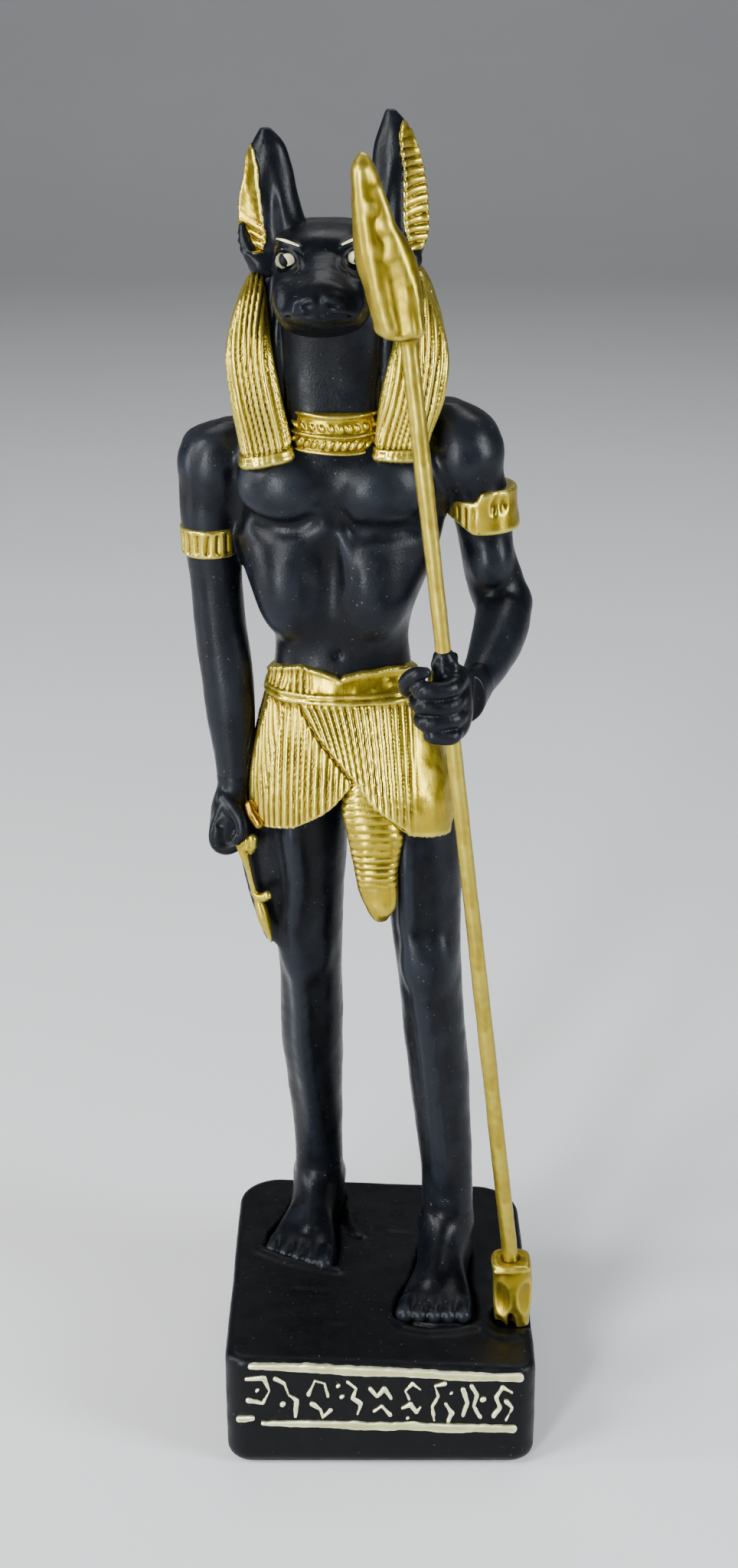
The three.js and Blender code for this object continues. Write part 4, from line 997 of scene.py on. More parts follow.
# How much the outer flap's pleats lean where the fold starts, and how far across that dies away
LEAN_AT_FOLD = 0.75
LEAN_REACH = 4.0
hem_height = between(HEM)
fold_place = between(FOLD_X)
belt_front = between(BELT_TOP)


def belt_top(x, y):
    back = ramp(4, 7, y)
    return belt_front(x) * (1 - back) + BELT_BACK * back


def kilt():
    field = Field((-13.6, -3.8, 47.4), (8.2, 13.4, 65.4), 0.15, [(0, loft(KILT, KILT_POWER))])
    field.keep(lambda x, y, h: HEM_BACK + ramp(4.6, 2.6, y) * (hem_height(x) - HEM_BACK) - h, 0.08)
    field.build([(0.1, within(loft(BELT, KILT_POWER, tip=0.2), h=(60.5, 64.9)))])
    return field.keep(lambda x, y, h: h - belt_top(x, y), 0.15)


def kilt_relief(x, y, h, n):
    at, _, _ = through([(row[2],) + row[:2] + row[3:] for row in KILT])
    cx, cy, a, b, turn = at(h).T
    cos, sin = np.cos(np.radians(turn)), np.sin(np.radians(turn))
    u, v = (x - cx) * cos + (y - cy) * sin, (y - cy) * cos - (x - cx) * sin
    run = box_run(u, v, a, b)
    outside = ramp(0.86, 0.94, oval(u, v, a, b, KILT_POWER))
    upright = ramp(0.75, 0.45, np.abs(n[:, 2])) * np.where(h < SKIRT_TOP, outside, 1)
    front = ramp(0.25, -0.1, n[:, 1]) * ramp(6.5, 4.5, y)
    over = x - fold_place(h)
    outer = np.where(front > 0.01, ramp(-0.1, 0.1, over), 1.0)
    # Left flap: upright narrow pleats, fainter towards the fold
    wander = 0.1 * wave(x, y, h * 0.25, 3) + 0.13 * np.sin(run * 1.7)
    left = strands(run + wander, 0.64, 0.6) * (0.3 - 0.17 * (ramp(3.6, 1.0, -over) * front))
    # Right flap: pleats that lean along the fold where they start, less and less towards the right
    grown_x = np.exp((np.clip(x, -8, 8) + 8) / LEAN_REACH)
    base = np.maximum(grown_x - LEAN_AT_FOLD * np.clip(61.6 - h, 0, 14) / LEAN_REACH, 0.3)
    start = LEAN_REACH * np.log(base) - 8
    uneven = 1 + 0.3 * wave(start, 0 * y, h * 0.1, 2.2, 2)
    lean = strands(start + 0.06 * wave(start, 0 * y, h * 0.2, 3, 2), 0.7, 0.65)
    right = lean * 0.25 * np.clip(uneven, 0.5, 1.3) / (grown_x / base) + 0.05 * wave(x, y, h, 2.6, 5)
    # Beyond them a smooth panel with faint streaks and a short slot
    panel = ramp(2.6, 3.4, x) * front
    streaks = 0.035 * wave(x * 0.35, y, h, 1.3, 6) + 0.03 * wave(x, y, h, 2.2, 8)
    slot = -0.12 * bell(x, 6.3, 0.16) * ramp(55, 56, h) * ramp(59, 58, h) * front
    right = right * (1 - panel) + (streaks - 0.05) * panel + slot
    back = strands(np.arctan2(u / a, v / b) * 8.7 + 0.05 * wave(x, y, h * 0.4, 4), 0.72, 0.75) * 0.26
    groove = bell(over, -0.2, 0.16) * front
    skirt = np.where(front > 0.01, np.where(over > 0, right, left), back) + 0.24 * outer - 0.16 * groove
    # Belt: notched at the left, then a smooth panel, with two rims below
    notch = strands(run, 0.62, 0.6) * 0.3 * ramp(-6.2, -7.0, x)
    rims = 0.2 * bell(h, 61.35, 0.15) + 0.16 * bell(h, 61.95, 0.13)
    top_rim = 0.12 * ramp(0.5, 0.2, belt_top(x, y) - h)
    hammered = lumps(x, y, h, (0.1, 1.6, 3), (0.04, 0.8, 9))
    belt = notch * ramp(62.0, 62.4, h) + rims + top_rim + hammered
    belting = ramp(SKIRT_TOP, SKIRT_TOP + 0.2, h)
    return upright * (skirt * (1 - belting) + belt * belting) + 0.02 * wave(x, y, h, 0.9, 11)


TAB = [
    (-2.1, -0.6, 54.4, 1, 1.3), (-1.3, -1.1, 51.8, 2.4, 1.6), (-0.6, -1.5, 49.4, 2.65, 1.6),
    (-0.5, -1.7, 46.4, 2.2, 1.45), (-0.25, -1.7, 43.3, 1.75, 1.3), (-0.05, -1.7, 41.4, 1.3, 1.1),
    (0, -1.7, 40.3, 0.6, 0.6),
]


def tab_relief(x, y, h, n):
    rise = h + 0.05 * (x + 0.5) ** 2 + 0.1 * wave(x, y, h, 2.4) + 0.16 * wave(x * 0.5, y, h, 1.5, 7)
    strong = 0.1 + 0.09 * wave(x * 0.6, y, h, 1.7, 4)
    ribs = strands(rise, 0.72) * ramp(43.0, 45.0, h) * ramp(0.2, -0.3, n[:, 1])
    return strong * ribs + 0.1 * wave(x, y, h, 1.6, 5) * ramp(46.5, 43.4, h) + 0.04 * wave(x, y, h, 0.9, 2)


# The ankh seen on edge: two humps at the top of its loop, the near side running down, its arm and its stem
ANKH_SIDE = [
    (-13.5, 2, 46.7), (-13.05, 1.9, 45.4), (-12.75, 1.9, 44.2), (-12.45, 2, 42.6), (-12.15, 2.2, 41.2),
]
ANKH_ARM = [(-12.2, 2.3, 41.3), (-11.8, 2.1, 40.9), (-11.3, 1.9, 40.9), (-10.9, 1.7, 41.2)]
ANKH_STEM = [
    (-12, 2.3, 41.2, 0.3, 0.4), (-11.6, 2.2, 39.8, 0.55, 0.7), (-11.3, 2.2, 38.5, 0.6, 0.8),
    (-10.95, 2.2, 37.2, 0.42, 0.55), (-10.6, 2.2, 35.9, 0.1, 0.2),
]
ANKH = [
    (0, bent(ANKH_SIDE, [0.5, 0.44, 0.32, 0.28, 0.28], 4)),
    (0.3, ball((-13.25, 1.8, 46.95), (0.66, 0.55, 0.66))),
    (0.2, bent([(-13, 1.8, 46.2), (-12.6, 1.6, 46.4), (-12.25, 1.5, 47.2)], [0.4, 0.42, 0.48])),
    (0.2, bent([(-12.25, 1.5, 47.2), (-12.2, 1.5, 46.5), (-12.4, 1.7, 45.8)], [0.48, 0.42, 0.28])),
    (-0.15, bent([(-12.72, 1, 47.7), (-12.7, 1, 47.1), (-12.55, 1.2, 46.3)], [0.2, 0.2, 0.1])),
    (0.15, bent(ANKH_ARM, [0.36, 0.42, 0.46, 0.46])),
    (0.2, loft(ANKH_STEM, 2)),
]
# A slip of casting beside the wrap's lower corner
LUMP = bent([(-12.4, 2.2, 50.4), (-12.1, 1.7, 49.7), (-11.55, 1.2, 48.95)], [0.5, 0.56, 0.52])


# Staff

GRIP = (5.9, -9.3, 64.6)
STAFF_LEAN = 0.118
STAFF_RECLINE = 0.024
ROD_RADIUS = 0.7
ROD_END_RADIUS = 0.78
STAFF_BOTTOM = -65.43
HEAD_HEIGHT = 14.8
HEAD_BASE = 47 - HEAD_HEIGHT


def along_fork(rows):
    """Rows or places with their heights counted from the staff's bottom."""
    return [(x, y, STAFF_BOTTOM + rise, *rest) for x, y, rise, *rest in rows]


def along_head(rows):
    """Rows or places with their heights as shares of the staff's head."""
    return [(x, y, HEAD_BASE + share * HEAD_HEIGHT, *rest) for x, y, share, *rest in rows]


FORK = along_fork([
    (-0.6, 0, -1.2, 1.6, 1.5), (-0.5, 0, 0.8, 1.72, 1.65), (-0.25, 0, 2.9, 1.86, 1.75),
    (0, 0, 4.9, 1.92, 1.75), (0.05, 0, 6.2, 1.9, 1.75), (0.05, 0, 6.9, 1.94, 1.8), (0.05, 0, 7.3, 1.8, 1.65),
])
# The scoops of the fork's front, either side of a slanting ridge: place, then radii
FORK_SCOOPS = [
    (-2.0, -3.2, 3.6, (2, 2.3, 3)), (2.0, -3.35, 3.3, (2.3, 2.45, 3.5)),
    (-0.6, -2.1, 0.4, (0.5, 1.7, 1.5)), (-2.0, -1.6, 0.2, (0.9, 1.3, 1.2)),
]
STAFF_HEAD = along_head([
    (-0.7, 0, 0, 1.3, 0.85), (-0.65, 0, 0.03, 1.9, 1.2), (-0.7, 0, 0.1, 2.1, 1.35),
    (-0.8, 0, 0.25, 2.3, 1.4), (-1.3, 0, 0.5, 2.36, 1.4), (-1.7, 0, 0.62, 1.8, 1.35),
    (-1.95, 0, 0.8, 1.24, 1.15), (-2.05, 0, 0.94, 0.86, 0.9), (-2, 0, 1, 0.3, 0.35),
])
# Soft lobes, grooves (a blend less than 0) and a ridge on the staff's head: blend, radii and places
HEAD_LINES = [
    (0.8, [0.4, 0.6, 0.66, 0.6], [
        (-2.3, -0.75, 0.9), (-2.3, -0.9, 0.6), (-2, -1, 0.3), (-1.5, -0.8, 0.06),
    ]),
    (0.8, [0.36, 0.5, 0.56, 0.6], [
        (-1.2, -0.8, 0.8), (-0.4, -0.95, 0.55), (0.5, -0.9, 0.3), (0.6, -0.75, 0.06),
    ]),
    (-0.4, [0.1, 0.26, 0.22], [(-0.95, -1.75, 0.36), (-0.75, -1.75, 0.2), (-0.6, -1.65, 0.04)]),
    (-0.3, [0.08, 0.18, 0.18], [(0.6, -1.6, 0.3), (0.75, -1.6, 0.16), (0.8, -1.4, 0.04)]),
    (-0.3, [0.08, 0.14, 0.08], [(-1.6, -1.75, 0.44), (-0.9, -1.8, 0.42), (-0.2, -1.7, 0.45)]),
    (0.25, [0.34, 0.3, 0.36], [(-1.7, -0.9, 0.035), (-0.7, -1.15, 0.02), (0.4, -0.9, 0.045)]),
]
# Soft bumps down the head: x, share of its height, and size
HEAD_BUMPS = [(-1.9, 0.72, 0.5), (-1, 0.62, 0.55), (-0.7, 0.47, 0.6), (-1.7, 0.5, 0.45)]


def staff_local(shape):
    """A shape written about the staff's axis, put where the staff leans."""
    low, high, distance = shape
    leans = (STAFF_LEAN, STAFF_RECLINE, 0)
    lean_low = [g - high[2] * lean + v for g, lean, v in zip(GRIP, leans, low)]
    lean_high = [g - low[2] * lean + v for g, lean, v in zip(GRIP, leans, high)]

    def leaning(x, y, h):
        rise = h - GRIP[2]
        across, deep = x - GRIP[0] + rise * STAFF_LEAN, y - GRIP[1] + rise * STAFF_RECLINE
        return distance(across, deep, rise + 0 * (x + y))

    return lean_low, lean_high, leaning


def staff():
    shaft = [(0, 0, STAFF_BOTTOM + 3), (0, 0, 0), (0, 0, HEAD_BASE + 1)]
    head_lines = [(blend, bent(along_head(path), radii, 3)) for blend, radii, path in HEAD_LINES]
    bumps = [
        (0.4, ball(along_head([(x, -1.25, share)])[0], (size, 0.34, size * 1.1)))
        for x, share, size in HEAD_BUMPS
    ]
    parts = [
        (0, rod(shaft, [ROD_END_RADIUS, ROD_RADIUS, ROD_END_RADIUS])),
        (0.35, loft(STAFF_HEAD, 2.3, tip=0.5)),
        *head_lines[:2],
        *bumps,
        *head_lines[2:],
        # The fork: a rim round the top of a scooped block
        (0.1, loft(FORK, 3.4, tip=0.2)),
        (0.2, rod(along_fork([(-1.55, -1.5, 6.7), (1.6, -1.5, 6.95)]), 0.26)),
        *((-0.15, ball(along_fork([scoop])[0][:3], scoop[3])) for scoop in FORK_SCOOPS),
    ]
    parts = [(blend, staff_local(shape)) for blend, shape in parts]
    field = Field((-2.9, -12.6, -0.7), (15.2, -5.7, 112), 0.145, parts)
    return field.keep(lambda x, y, h: plinth_top(x) - 0.4 - h + 0 * y)


def staff_relief(x, y, h, n):
    top = ramp(HEAD_BASE, HEAD_BASE + 1, h - GRIP[2]) * 0.05 * wave(x, y, h, 1.5, 6)
    return 0.03 * wave(x, y, h * 0.4, 1.4, 2) + top + 0.012 * wave(x, y, h, 0.6, 4)


def staff_gold(x, y, h):
    """Gold everywhere but for the black that runs up from the fist."""
    ragged = 69.3 + 0.35 * np.sin(x * 6 + y * 4) + 0.2 * np.sin(x * 15)
    return 1 - ramp(61.9, 62.1, h) * ramp(ragged + 0.1, ragged - 0.1, h)


# Plinth

FRONT = -PLINTH_DEPTH / 2
# The foot's rounding inwards and its height, and the radii of the back and front corners and the top edge
FOOT_INSET = 1.3
FOOT_RISE = 1.6
CORNER_BACK = 4.5
CORNER_FRONT = 2.0
TOP_EDGE = 0.9


def plinth_top(x):
    """Height of the sloping top over its nominal height."""
    return -x / PLINTH_WIDTH * PLINTH_FALL


def plinth_block(x, y, h):
    z = h + PLINTH_TOP
    inset = FOOT_INSET * (1 - np.sqrt(np.clip(1 - (1 - np.clip(z / FOOT_RISE, 0, 1)) ** 2, 0, 1)))
    r = np.where(y > 0, CORNER_BACK, CORNER_FRONT)
    qx, qy = np.abs(x) - (PLINTH_WIDTH / 2 - inset) + r, np.abs(y) - (PLINTH_DEPTH / 2 - inset) + r
    side = np.hypot(np.maximum(qx, 0), np.maximum(qy, 0)) + np.minimum(np.maximum(qx, qy), 0) - r
    return np.maximum(-least(-side, -(h - plinth_top(x)), TOP_EDGE), -z)


# Raised rims before the toes and the staff's foot, and a fold beside the right heel: places (x, y), radius
RIMS = [
    ([(-12.2, 2.3), (-10, 0.9), (-7.2, -0.2), (-4.3, -0.8)], 0.34),
    ([(1.3, -8.7), (2.4, -10.4), (4.6, -10.9), (7.4, -10.5), (9.4, -9.6)], 0.34),
    ([(10.4, -10.2), (11.2, -11.1), (12.4, -11.4), (13.4, -10.9)], 0.3),
    ([(-3.2, 9.6), (-3, 7.4), (-1.9, 5.6)], 0.3),
]
# A curved groove and scratches
SCRATCHES = [
    ([(-3.9, 10), (-3.9, 7.6), (-3.2, 6), (-2.2, 5.2)], 0.24),
    ([(-8.6, -4.3), (-5.6, -4.5)], 0.12),
    ([(1, 6.2), (3.6, 6)], 0.12),
    ([(-4.6, -10.2), (-3.6, -10.3)], 0.1),
]
# The slots before the toes: places, then radii
SLOTS = [
    ([(-11.9, 2.9, 0.1), (-9.6, 1.7, 0), (-7.4, 0.9, 0), (-5.2, 0.2, 0)], [0.2, 0.4, 0.5, 0.3]),
    ([(1.7, -8.6, -0.3), (3.4, -9.3, -0.4), (5.6, -9.9, -0.5), (8.6, -9.4, -0.6)], [0.5, 0.4, 0.34, 0.3]),
]
SEAT_GAP = 0.3


def plinth():
    box = (-15.5, -16.8, -12.4), (15.5, 16.8, 1.3)

    def on_top(blend, paths, lift):
        return [(blend, rod([(x, y, plinth_top(x) + lift) for x, y in path], r)) for path, r in paths]

    def seat(shape, low, high):
        return within(grown(shape, lambda x, y, h: SEAT_GAP), h=(low, high))

    return Field(*box, 0.31, [
        (0, (*box, plinth_block)),
        *on_top(0.7, RIMS, -0.05),
        *((-0.25, seat(foot_shape(*numbers)[0], FOOT_SEAT, 9)) for numbers in (RIGHT_FOOT, LEFT_FOOT)),
        *((-0.3, rod(*slot)) for slot in SLOTS),
        (-0.2, seat(staff_local(loft(FORK, 2.8)), -1.2, 1)),
        *on_top(-0.35, SCRATCHES, 0.05),
    ])


def plinth_relief(x, y, h, n):
    return lumps(x, y, h, (0.05, 9), (0.03, 4.3, 3), (0.012, 1.6, 7)) * ramp(-11.8, -11, h)


BAND_TOP = -0.75
BAND_SPACING = 6.3
BAND_TILT = (-0.056, -0.031)
# The marks between the band's lines, one group a row: each is a chain of places, or one place for a dot
STROKE_SHAPES = [
    [[(-0.9, 1.1), (0.5, 1.2), (0.95, 0.3), (0.4, -0.6), (-0.8, -0.4)], [(-0.1, 0.3)]],
    [[(-1, 1.2), (-0.3, 0.9), (0, 0.1), (0.6, -0.3), (0.5, -1.5)], [(-0.5, -0.6)]],
    [
        [(-1, 0.2), (-0.4, 1.2), (0.5, 1), (0.8, 0.1)],
        [(-0.7, -0.5), (0.1, -0.9), (0.3, -1.5), (1, -1)],
    ],
    [[(-1, 0.9)], [(-0.7, 0.1)], [(-0.2, 1.2), (0.5, 0.7), (0.2, 0), (0.9, -0.4), (0.6, -1.2)]],
    [[(-0.9, 0.8), (-0.3, 0.2), (0.3, 0.8), (0.9, 0.1)], [(-0.6, -0.9), (0.1, -0.5), (0.8, -1.2)]],
    [
        [(0.9, 0.8), (0.1, 1.3), (-0.6, 0.7), (-0.2, 0.1)],
        [(-0.9, -0.6), (-0.1, -0.3), (0.5, -0.9), (0.9, -0.5)], [(-0.4, -1.4)],
    ],
    [
        [(-0.6, -1.5), (-0.8, -0.4), (-0.3, 0.4), (-0.6, 1.2), (0.2, 1.4)],
        [(0.3, -0.2), (0.8, -0.9), (0.5, -1.5)], [(0.7, 0.6)],
    ],
    [
        [(-0.9, 1), (-0.5, 0), (-0.9, -1)], [(-0.1, 1.3), (0.4, 0.6), (0.1, -0.3), (0.7, -1.1)],
        [(0.9, 0.2)],
    ],
    [
        [(-0.9, -1), (-0.3, -0.3), (-0.7, 0.5), (-0.1, 1.3), (0.8, 0.9)],
        [(0.3, 0.2), (0.9, -0.3), (0.3, -1.3)],
    ],
]
STROKE_ROOM = PLINTH_WIDTH - 3.4
STROKE_ACROSS = 0.86
STROKE_TALL = 1.2
# What the marks leave free between the lines, and how many of their units the rest takes
STROKE_MARGIN = 0.85
STROKE_UNITS = 4.2
# How far the strokes stand into and out of the plinth's front
STROKE_DEPTH = 0.26


def brush_stroke(path, radii):
    """A flat raised stroke on the plinth's front, through places (x, h)."""
    if len(path) == 1:
        path, radii = [path[0], (path[0][0] + 0.12, path[0][1] + 0.1)], [radii[0]] * 2
    low, high, distance = rod([(x, 0, h) for x, h in path], radii)

    def flat(x, y, h):
        ragged = lumps(x, 0 * y, h, (0.06, 1.1, 3), (0.035, 0.45, 8))
        return -least(-(distance(x, 0, h) + ragged), -(np.abs(y - FRONT) - STROKE_DEPTH + 0 * (x + h)), 0.12)

    return (low[0] - 0.2, FRONT - 0.5, low[2] - 0.2), (high[0] + 0.2, FRONT + 0.5, high[2] + 0.2), flat


def band():
    """The band's two raised lines and the row of strokes between them."""
    parts = []
    lines = [(0.4, BAND_TOP, 12.9, BAND_TILT[0]), (0.7, BAND_TOP - BAND_SPACING, 12.1, BAND_TILT[1])]
    for x, h, half, tilt in lines:
        shares = (-1, -0.6, -0.2, 0.2, 0.6, 1)
        path = [(x + share * half, h + share * half * tilt + 0.05 * math.sin(share * 7)) for share in shares]
        parts.append((0.05, brush_stroke(path, [0.22, 0.42, 0.47, 0.46, 0.44, 0.4])))
    # A short tick at the left end of the lower line
    parts.append((0.05, brush_stroke([(-13.7, -6.3), (-12.5, -6.15)], [0.24, 0.3])))
    for g, marks in enumerate(STROKE_SHAPES):
        x = -STROKE_ROOM / 2 + (g + 0.5) * (STROKE_ROOM / len(STROKE_SHAPES))
        upper, lower = BAND_TOP + BAND_TILT[0] * x, BAND_TOP - BAND_SPACING + BAND_TILT[1] * x
        middle = (upper + lower) / 2
        unit = (upper - lower - STROKE_MARGIN) / STROKE_UNITS
        across = STROKE_ACROSS * (1 + 0.1 * math.sin(2.3 * g))
        for chain in marks:
            path = [(x + across * u * unit, middle + STROKE_TALL * w * unit) for u, w in chain]
            radii = [0.15 + 0.06 * math.sin(g + 2 * i) for i in range(len(path))]
            parts.append((0.02, brush_stroke(path, radii)))
    return Field((-14.5, FRONT - 0.75, -8.8), (14.5, FRONT + 0.4, 0.4), 0.108, parts)


def band_relief(x, y, h, n):
    return ramp(-0.3, -0.8, n[:, 1]) * (0.05 * wave(x, y, h, 1.3, 5) + 0.03 * wave(x * 0.4, y, h, 0.5, 2))


# Materials


class Nodes:
    """Short names for the nodes of one material."""

    def __init__(self, name):
        self.material = bpy.data.materials.new(name)
        self.material.use_nodes = True
        self.tree = self.material.node_tree
        self.shader = self.tree.nodes["Principled BSDF"]
        self.coords = self.add("ShaderNodeTexCoord", output="Object")

    def put(self, socket, value):
        """Links or sets a socket; a colour of three numbers is opaque."""
        if hasattr(value, "links"):
            self.tree.links.new(value, socket)
        else:
            socket.default_value = (*value, 1) if socket.type == "RGBA" else value

    def add(self, kind, inputs=(), output=0, **settings):
        """A node with its settings and inputs, as one of its outputs."""
        node = self.tree.nodes.new(kind)
        for key, value in settings.items():
            setattr(node, key, value)
        for key, value in dict(inputs).items():
            self.put(node.inputs[key], value)
        return node.outputs[output]

    def paint(self, **inputs):
        """Links or sets the shader's inputs, their names written with underscores."""
        for key, value in inputs.items():
            self.put(self.shader.inputs[key.replace("_", " ")], value)

    def attribute(self, name):
        return self.add("ShaderNodeAttribute", output="Fac", attribute_name=name)

    def noise(self, scale, detail=3.0, rough=0.55, stretch=None, turn=(0, 0, 0)):
        place = self.coords
        if stretch:
            mapping = {"Vector": place, "Rotation": turn, "Scale": [1 / v for v in stretch]}
            place = self.add("ShaderNodeMapping", mapping, vector_type="TEXTURE")
        inputs = {"Vector": place, "Scale": scale, "Detail": detail, "Roughness": rough}
        return self.add("ShaderNodeTexNoise", inputs)

    def math(self, how, a, b=0.0):
        return self.add("ShaderNodeMath", {0: a, 1: b}, operation=how)

    def times(self, a, b):
        return self.math("MULTIPLY", a, b)

    def greater(self, a, b):
        return self.math("MAXIMUM", a, b)

    def span(self, value, low, high, to_low=0.0, to_high=1.0):
        inputs = dict(enumerate((value, low, high, to_low, to_high)))
        return self.add("ShaderNodeMapRange", inputs, interpolation_type="SMOOTHSTEP")

    def mix(self, share, a, b):
        return self.add("ShaderNodeMix", {0: share, 6: a, 7: b}, 2, data_type="RGBA")

    def blend(self, share, a, b):
        return self.add("ShaderNodeMix", {0: share, 2: a, 3: b}, data_type="FLOAT")

    def bump(self, height, distance, strength, below=None):
        inputs = {"Strength": strength, "Distance": distance, "Height": height}
        if below:
            inputs["Normal"] = below
        return self.add("ShaderNodeBump", inputs)


BLACK = (0.0021, 0.0025, 0.0036)
# The paler bluish black: wear in rubbed patches, and a painted sheen on ridges
BLACK_WORN_AND_SHEEN = (0.0085, 0.0105, 0.0145)
PLINTH_BLACK = (0.0018, 0.0019, 0.0024)
DUST = (0.10, 0.095, 0.09)
# Each gold is three colours: the paint, the paint with a painted highlight for ridges, and the paint with
# painted shade for hollows
GOLD = (0.365, 0.265, 0.015), (0.52, 0.425, 0.07), (0.10, 0.06, 0.005)
STAFF_GOLD = (0.245, 0.175, 0.011), (0.45, 0.355, 0.048), (0.09, 0.055, 0.005)
COPPER = (0.20, 0.105, 0.008), (0.32, 0.19, 0.02), (0.08, 0.035, 0.004)
BAND_PAINT = (0.54, 0.54, 0.22), (0.84, 0.84, 0.56), (0.24, 0.24, 0.07)
STAFF_TURN = (math.atan(STAFF_RECLINE), -math.atan(STAFF_LEAN), 0)


def painted(
    name, gold=GOLD, black=BLACK, worn_and_sheen=BLACK_WORN_AND_SHEEN, black_rough=(0.25, 0.4), gold_rough=(0.2, 0.35),
    stretch=(1, 1, 0.35), turn=(0, 0, 0), shine=0.12,
):
    """Black resin with gold paint where `gilt` is 1: painted shade darkens the gold in hollows, a painted
    highlight pales it on ridges, and a painted sheen pales the black on ridges.
    """
    m = Nodes(name)
    relief = m.attribute("relief")
    edge = m.math("ADD", m.attribute("gilt"), m.times(m.math("SUBTRACT", m.noise(1700), 0.5), 0.7))
    gilt = m.span(edge, 0.42, 0.56)
    cloud = m.noise(260)
    brush = m.noise(900, 4, 0.6, stretch, turn)
    fine = m.noise(4200, 3, 0.6)
    # Gold paint
    paint, pale, deep = gold
    patchy = m.times(m.span(brush, 0.45, 0.75), 0.3)
    # Paler on ridges as a painted highlight, and in random brush patches as paler paint
    gold_colour = m.mix(m.greater(m.span(relief, 0.004, 0.06), patchy), paint, pale)
    thin = m.times(m.span(cloud, 0.5, 0.72), 0.22)
    # Darker in hollows as painted shade, and in random cloudy patches as thin paint
    gold_colour = m.mix(m.greater(m.span(relief, -0.006, -0.075), thin), gold_colour, deep)
    # Black resin, paler and duller where it is rubbed, paler and bluish on ridges as a painted sheen, with a
    # little dust
    rubbed = m.times(m.span(cloud, 0.45, 0.75), 0.6)
    black_colour = m.mix(m.greater(rubbed, m.span(relief, 0.02, 0.12)), black, worn_and_sheen)
    specks = m.times(m.span(m.noise(3200, 1, 0.4), 0.75, 0.775), 0.4)
    black_colour = m.mix(specks, black_colour, DUST)
    dull = m.span(m.noise(620, 4, 0.6), 0.3, 0.7, *black_rough)
    grain = m.blend(gilt, m.times(fine, 0.35), brush)
    m.paint(
        Base_Color=m.mix(gilt, black_colour, gold_colour),
        Metallic=m.times(gilt, 0.9),
        Roughness=m.blend(gilt, dull, m.span(brush, 0.3, 0.7, *gold_rough)),
        Specular_IOR_Level=shine,
        Normal=m.bump(grain, 0.00009, 0.45, m.bump(fine, 0.00002, 0.35)),
    )
    return m.material


def eye_paint():
    m = Nodes("eye_paint")
    pale = m.mix(m.span(m.noise(1500, 2), 0.4, 0.7), (0.52, 0.48, 0.28), (0.68, 0.62, 0.40))
    gilt = m.span(m.attribute("gilt"), 0.38, 0.62)
    m.paint(
        Base_Color=m.mix(gilt, (0.003, 0.003, 0.004), pale),
        Metallic=0.1,
        Specular_IOR_Level=0.06,
        Roughness=m.span(m.noise(900), 0.3, 0.7, 0.3, 0.45),
        Normal=m.bump(m.noise(3000), 0.00003, 0.4),
    )
    return m.material


def floor_paint():
    m = Nodes("floor")
    m.paint(Base_Color=m.mix(m.noise(14), (0.55, 0.55, 0.56), (0.59, 0.59, 0.60)), Roughness=0.75)
    return m.material


# The object

resin = painted("painted_resin")
head_resin = painted("head_resin", shine=0.085)
plinth_paint = painted("plinth_resin", black=PLINTH_BLACK, worn_and_sheen=BLACK, black_rough=(0.3, 0.48))
band_paint = painted("band_paint", BAND_PAINT, gold_rough=(0.34, 0.5))
copper_paint = painted("copper_paint", COPPER)
staff_paint = painted(
    "staff_paint", STAFF_GOLD, gold_rough=(0.28, 0.43), stretch=(1, 1, 0.05), turn=STAFF_TURN,
)

wig = Field((-14.4, 0.8, 81), (6.8, 13.2, 104.2), 0.22, [(0, loft(WIG_MASS, 2.5))])
collar = Field((-9.4, -0.9, 84.2), (1, 3.4, 88.9), 0.1, [(0, loft(COLLAR, 2.2, tip=0.2))])
tab = Field((-4.8, -3.8, 39.8), (2.8, 1.2, 54.6), 0.12, [(0, loft(TAB, 2.2, tip=0.2))])
lump = Field((-14, 0, 47.2), (-10.2, 4, 51.8), 0.1, [(0, LUMP)])
ankh = Field((-15, -0.2, 34.8), (-9.4, 5.4, 49.8), 0.1, ANKH)
face = head()
# Name, field, material, and where they are given the gold and the relief
figure = [
    ("figure_body", body(), resin, None, body_relief),
    ("figure_fist", fist(), resin),
    ("figure_ankh_hand", ankh_hand(), resin),
    ("figure_right_foot", foot(RIGHT_FOOT, RIGHT_LEG), resin),
    ("figure_left_foot", foot(LEFT_FOOT, LEFT_LEG), resin),
    ("figure_head", face, head_resin, None, head_relief),
    ("figure_eyes", eyes(face), eye_paint(), eye_gold),
    ("figure_ears", ears(), resin, ear_gold, ear_ribs),
    ("figure_wig", wig, resin, wig_gold, wig_strands),
    ("figure_lappets", lappets(), resin, lappet_gold, lappet_strands),
    ("figure_collar", collar, resin, 1, collar_relief),
    ("figure_armlets", armlets(), resin, 1, armlet_relief),
    ("figure_kilt", kilt(), resin, 1, kilt_relief),
    ("figure_tab", tab, resin, 1, tab_relief),
    ("figure_lump", lump, copper_paint, 1),
    ("figure_ankh", ankh, resin, 1),
]
for name, field, material, *rest in figure:
    thing = piece(name, field, material, "figure_resin", *rest)
    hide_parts("figure")
plinth_pieces = [
    piece("plinth_block", plinth(), plinth_paint, "plinth_resin", None, plinth_relief),
    piece("plinth_band", band(), band_paint, "plinth_resin", 1, band_relief),
]
for thing in plinth_pieces:
    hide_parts("plinth")
staff_piece = piece("staff_cast", staff(), staff_paint, "staff_gold", staff_gold, staff_relief)
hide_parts("staff")


# Floor, light and camera


def placed(name, data):
    """A Blender object in the scene."""
    thing = bpy.data.objects.new(name, data)
    bpy.context.scene.collection.objects.link(thing)
    return thing


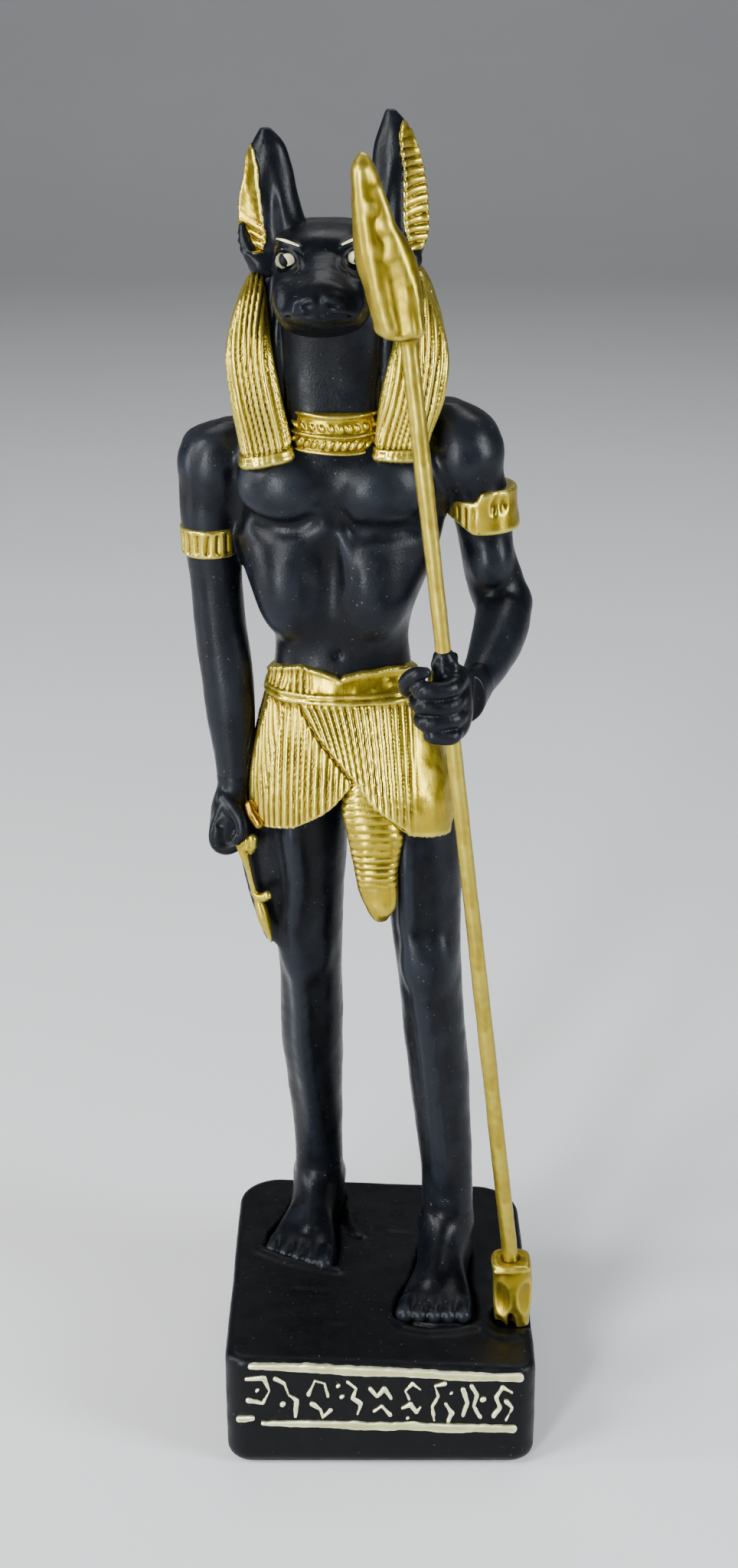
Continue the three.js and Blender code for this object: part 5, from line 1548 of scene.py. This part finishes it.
def add_floor():
    """A floor that curves up behind the object."""
    half, back, rise, radius, steps = 3.0, 1.2, 1.6, 0.5, 12
    profile = [(-half, 0.0)]
    for i in range(steps + 1):
        turn = i / steps * math.pi / 2
        profile.append((back - radius + radius * math.sin(turn), radius * (1 - math.cos(turn))))
    profile.append((back, rise))
    points = [(x, y, z) for y, z in profile for x in (-half, half)]
    faces = [(2 * i, 2 * i + 1, 2 * i + 3, 2 * i + 2) for i in range(len(profile) - 1)]
    mesh = bpy.data.meshes.new("floor")
    mesh.from_pydata(points, [], faces)
    mesh.polygons.foreach_set("use_smooth", [True] * len(faces))
    mesh.materials.append(floor_paint())
    floor = placed("floor", mesh)


# Every lamp points at the figure's middle
TARGET = Vector((0, 0, 0.06))
COOL = (0.92, 0.96, 1)


def add_light(name, place, energy, size, colour=(1, 1, 1)):
    light = bpy.data.lights.new(name, "AREA")
    light.energy = energy
    light.shape = "RECTANGLE"
    light.size, light.size_y = size
    light.color = colour
    lamp = placed(name, light)
    lamp.location = place
    lamp.rotation_euler = (TARGET - Vector(place)).to_track_quat("-Z", "Y").to_euler()


add_floor()
add_light("key", (-0.32, -0.20, 0.34), 3.0, (0.14, 0.30), (1, 0.98, 0.95))
add_light("strip", (-0.16, -0.34, 0.10), 3.1, (0.05, 0.34), COOL)
add_light("side", (0.38, -0.18, 0.20), 3.2, (0.14, 0.26), (0.9, 0.95, 1))
add_light("left", (-0.42, -0.05, 0.14), 1.7, (0.05, 0.3), COOL)
add_light("top", (0.05, 0.25, 0.5), 1.3, (0.4, 0.2))

world = bpy.data.worlds.new("world")
bpy.context.scene.world = world
world.use_nodes = True
background = world.node_tree.nodes["Background"]
background.inputs["Color"].default_value = (0.80, 0.84, 0.9, 1)
background.inputs["Strength"].default_value = 0.13

CAMERA_PLACE = (-0.00113, -0.1885, 0.1424)
CAMERA_PITCH = 22.2
CAMERA_LENS = 50.06
camera = bpy.data.cameras.new("camera")
camera.lens = CAMERA_LENS
camera.sensor_width = 36
camera.clip_start = 0.01
viewer = placed("camera", camera)
viewer.location = CAMERA_PLACE
viewer.rotation_euler = (math.radians(90 - CAMERA_PITCH), 0, 0)
bpy.context.scene.camera = viewer
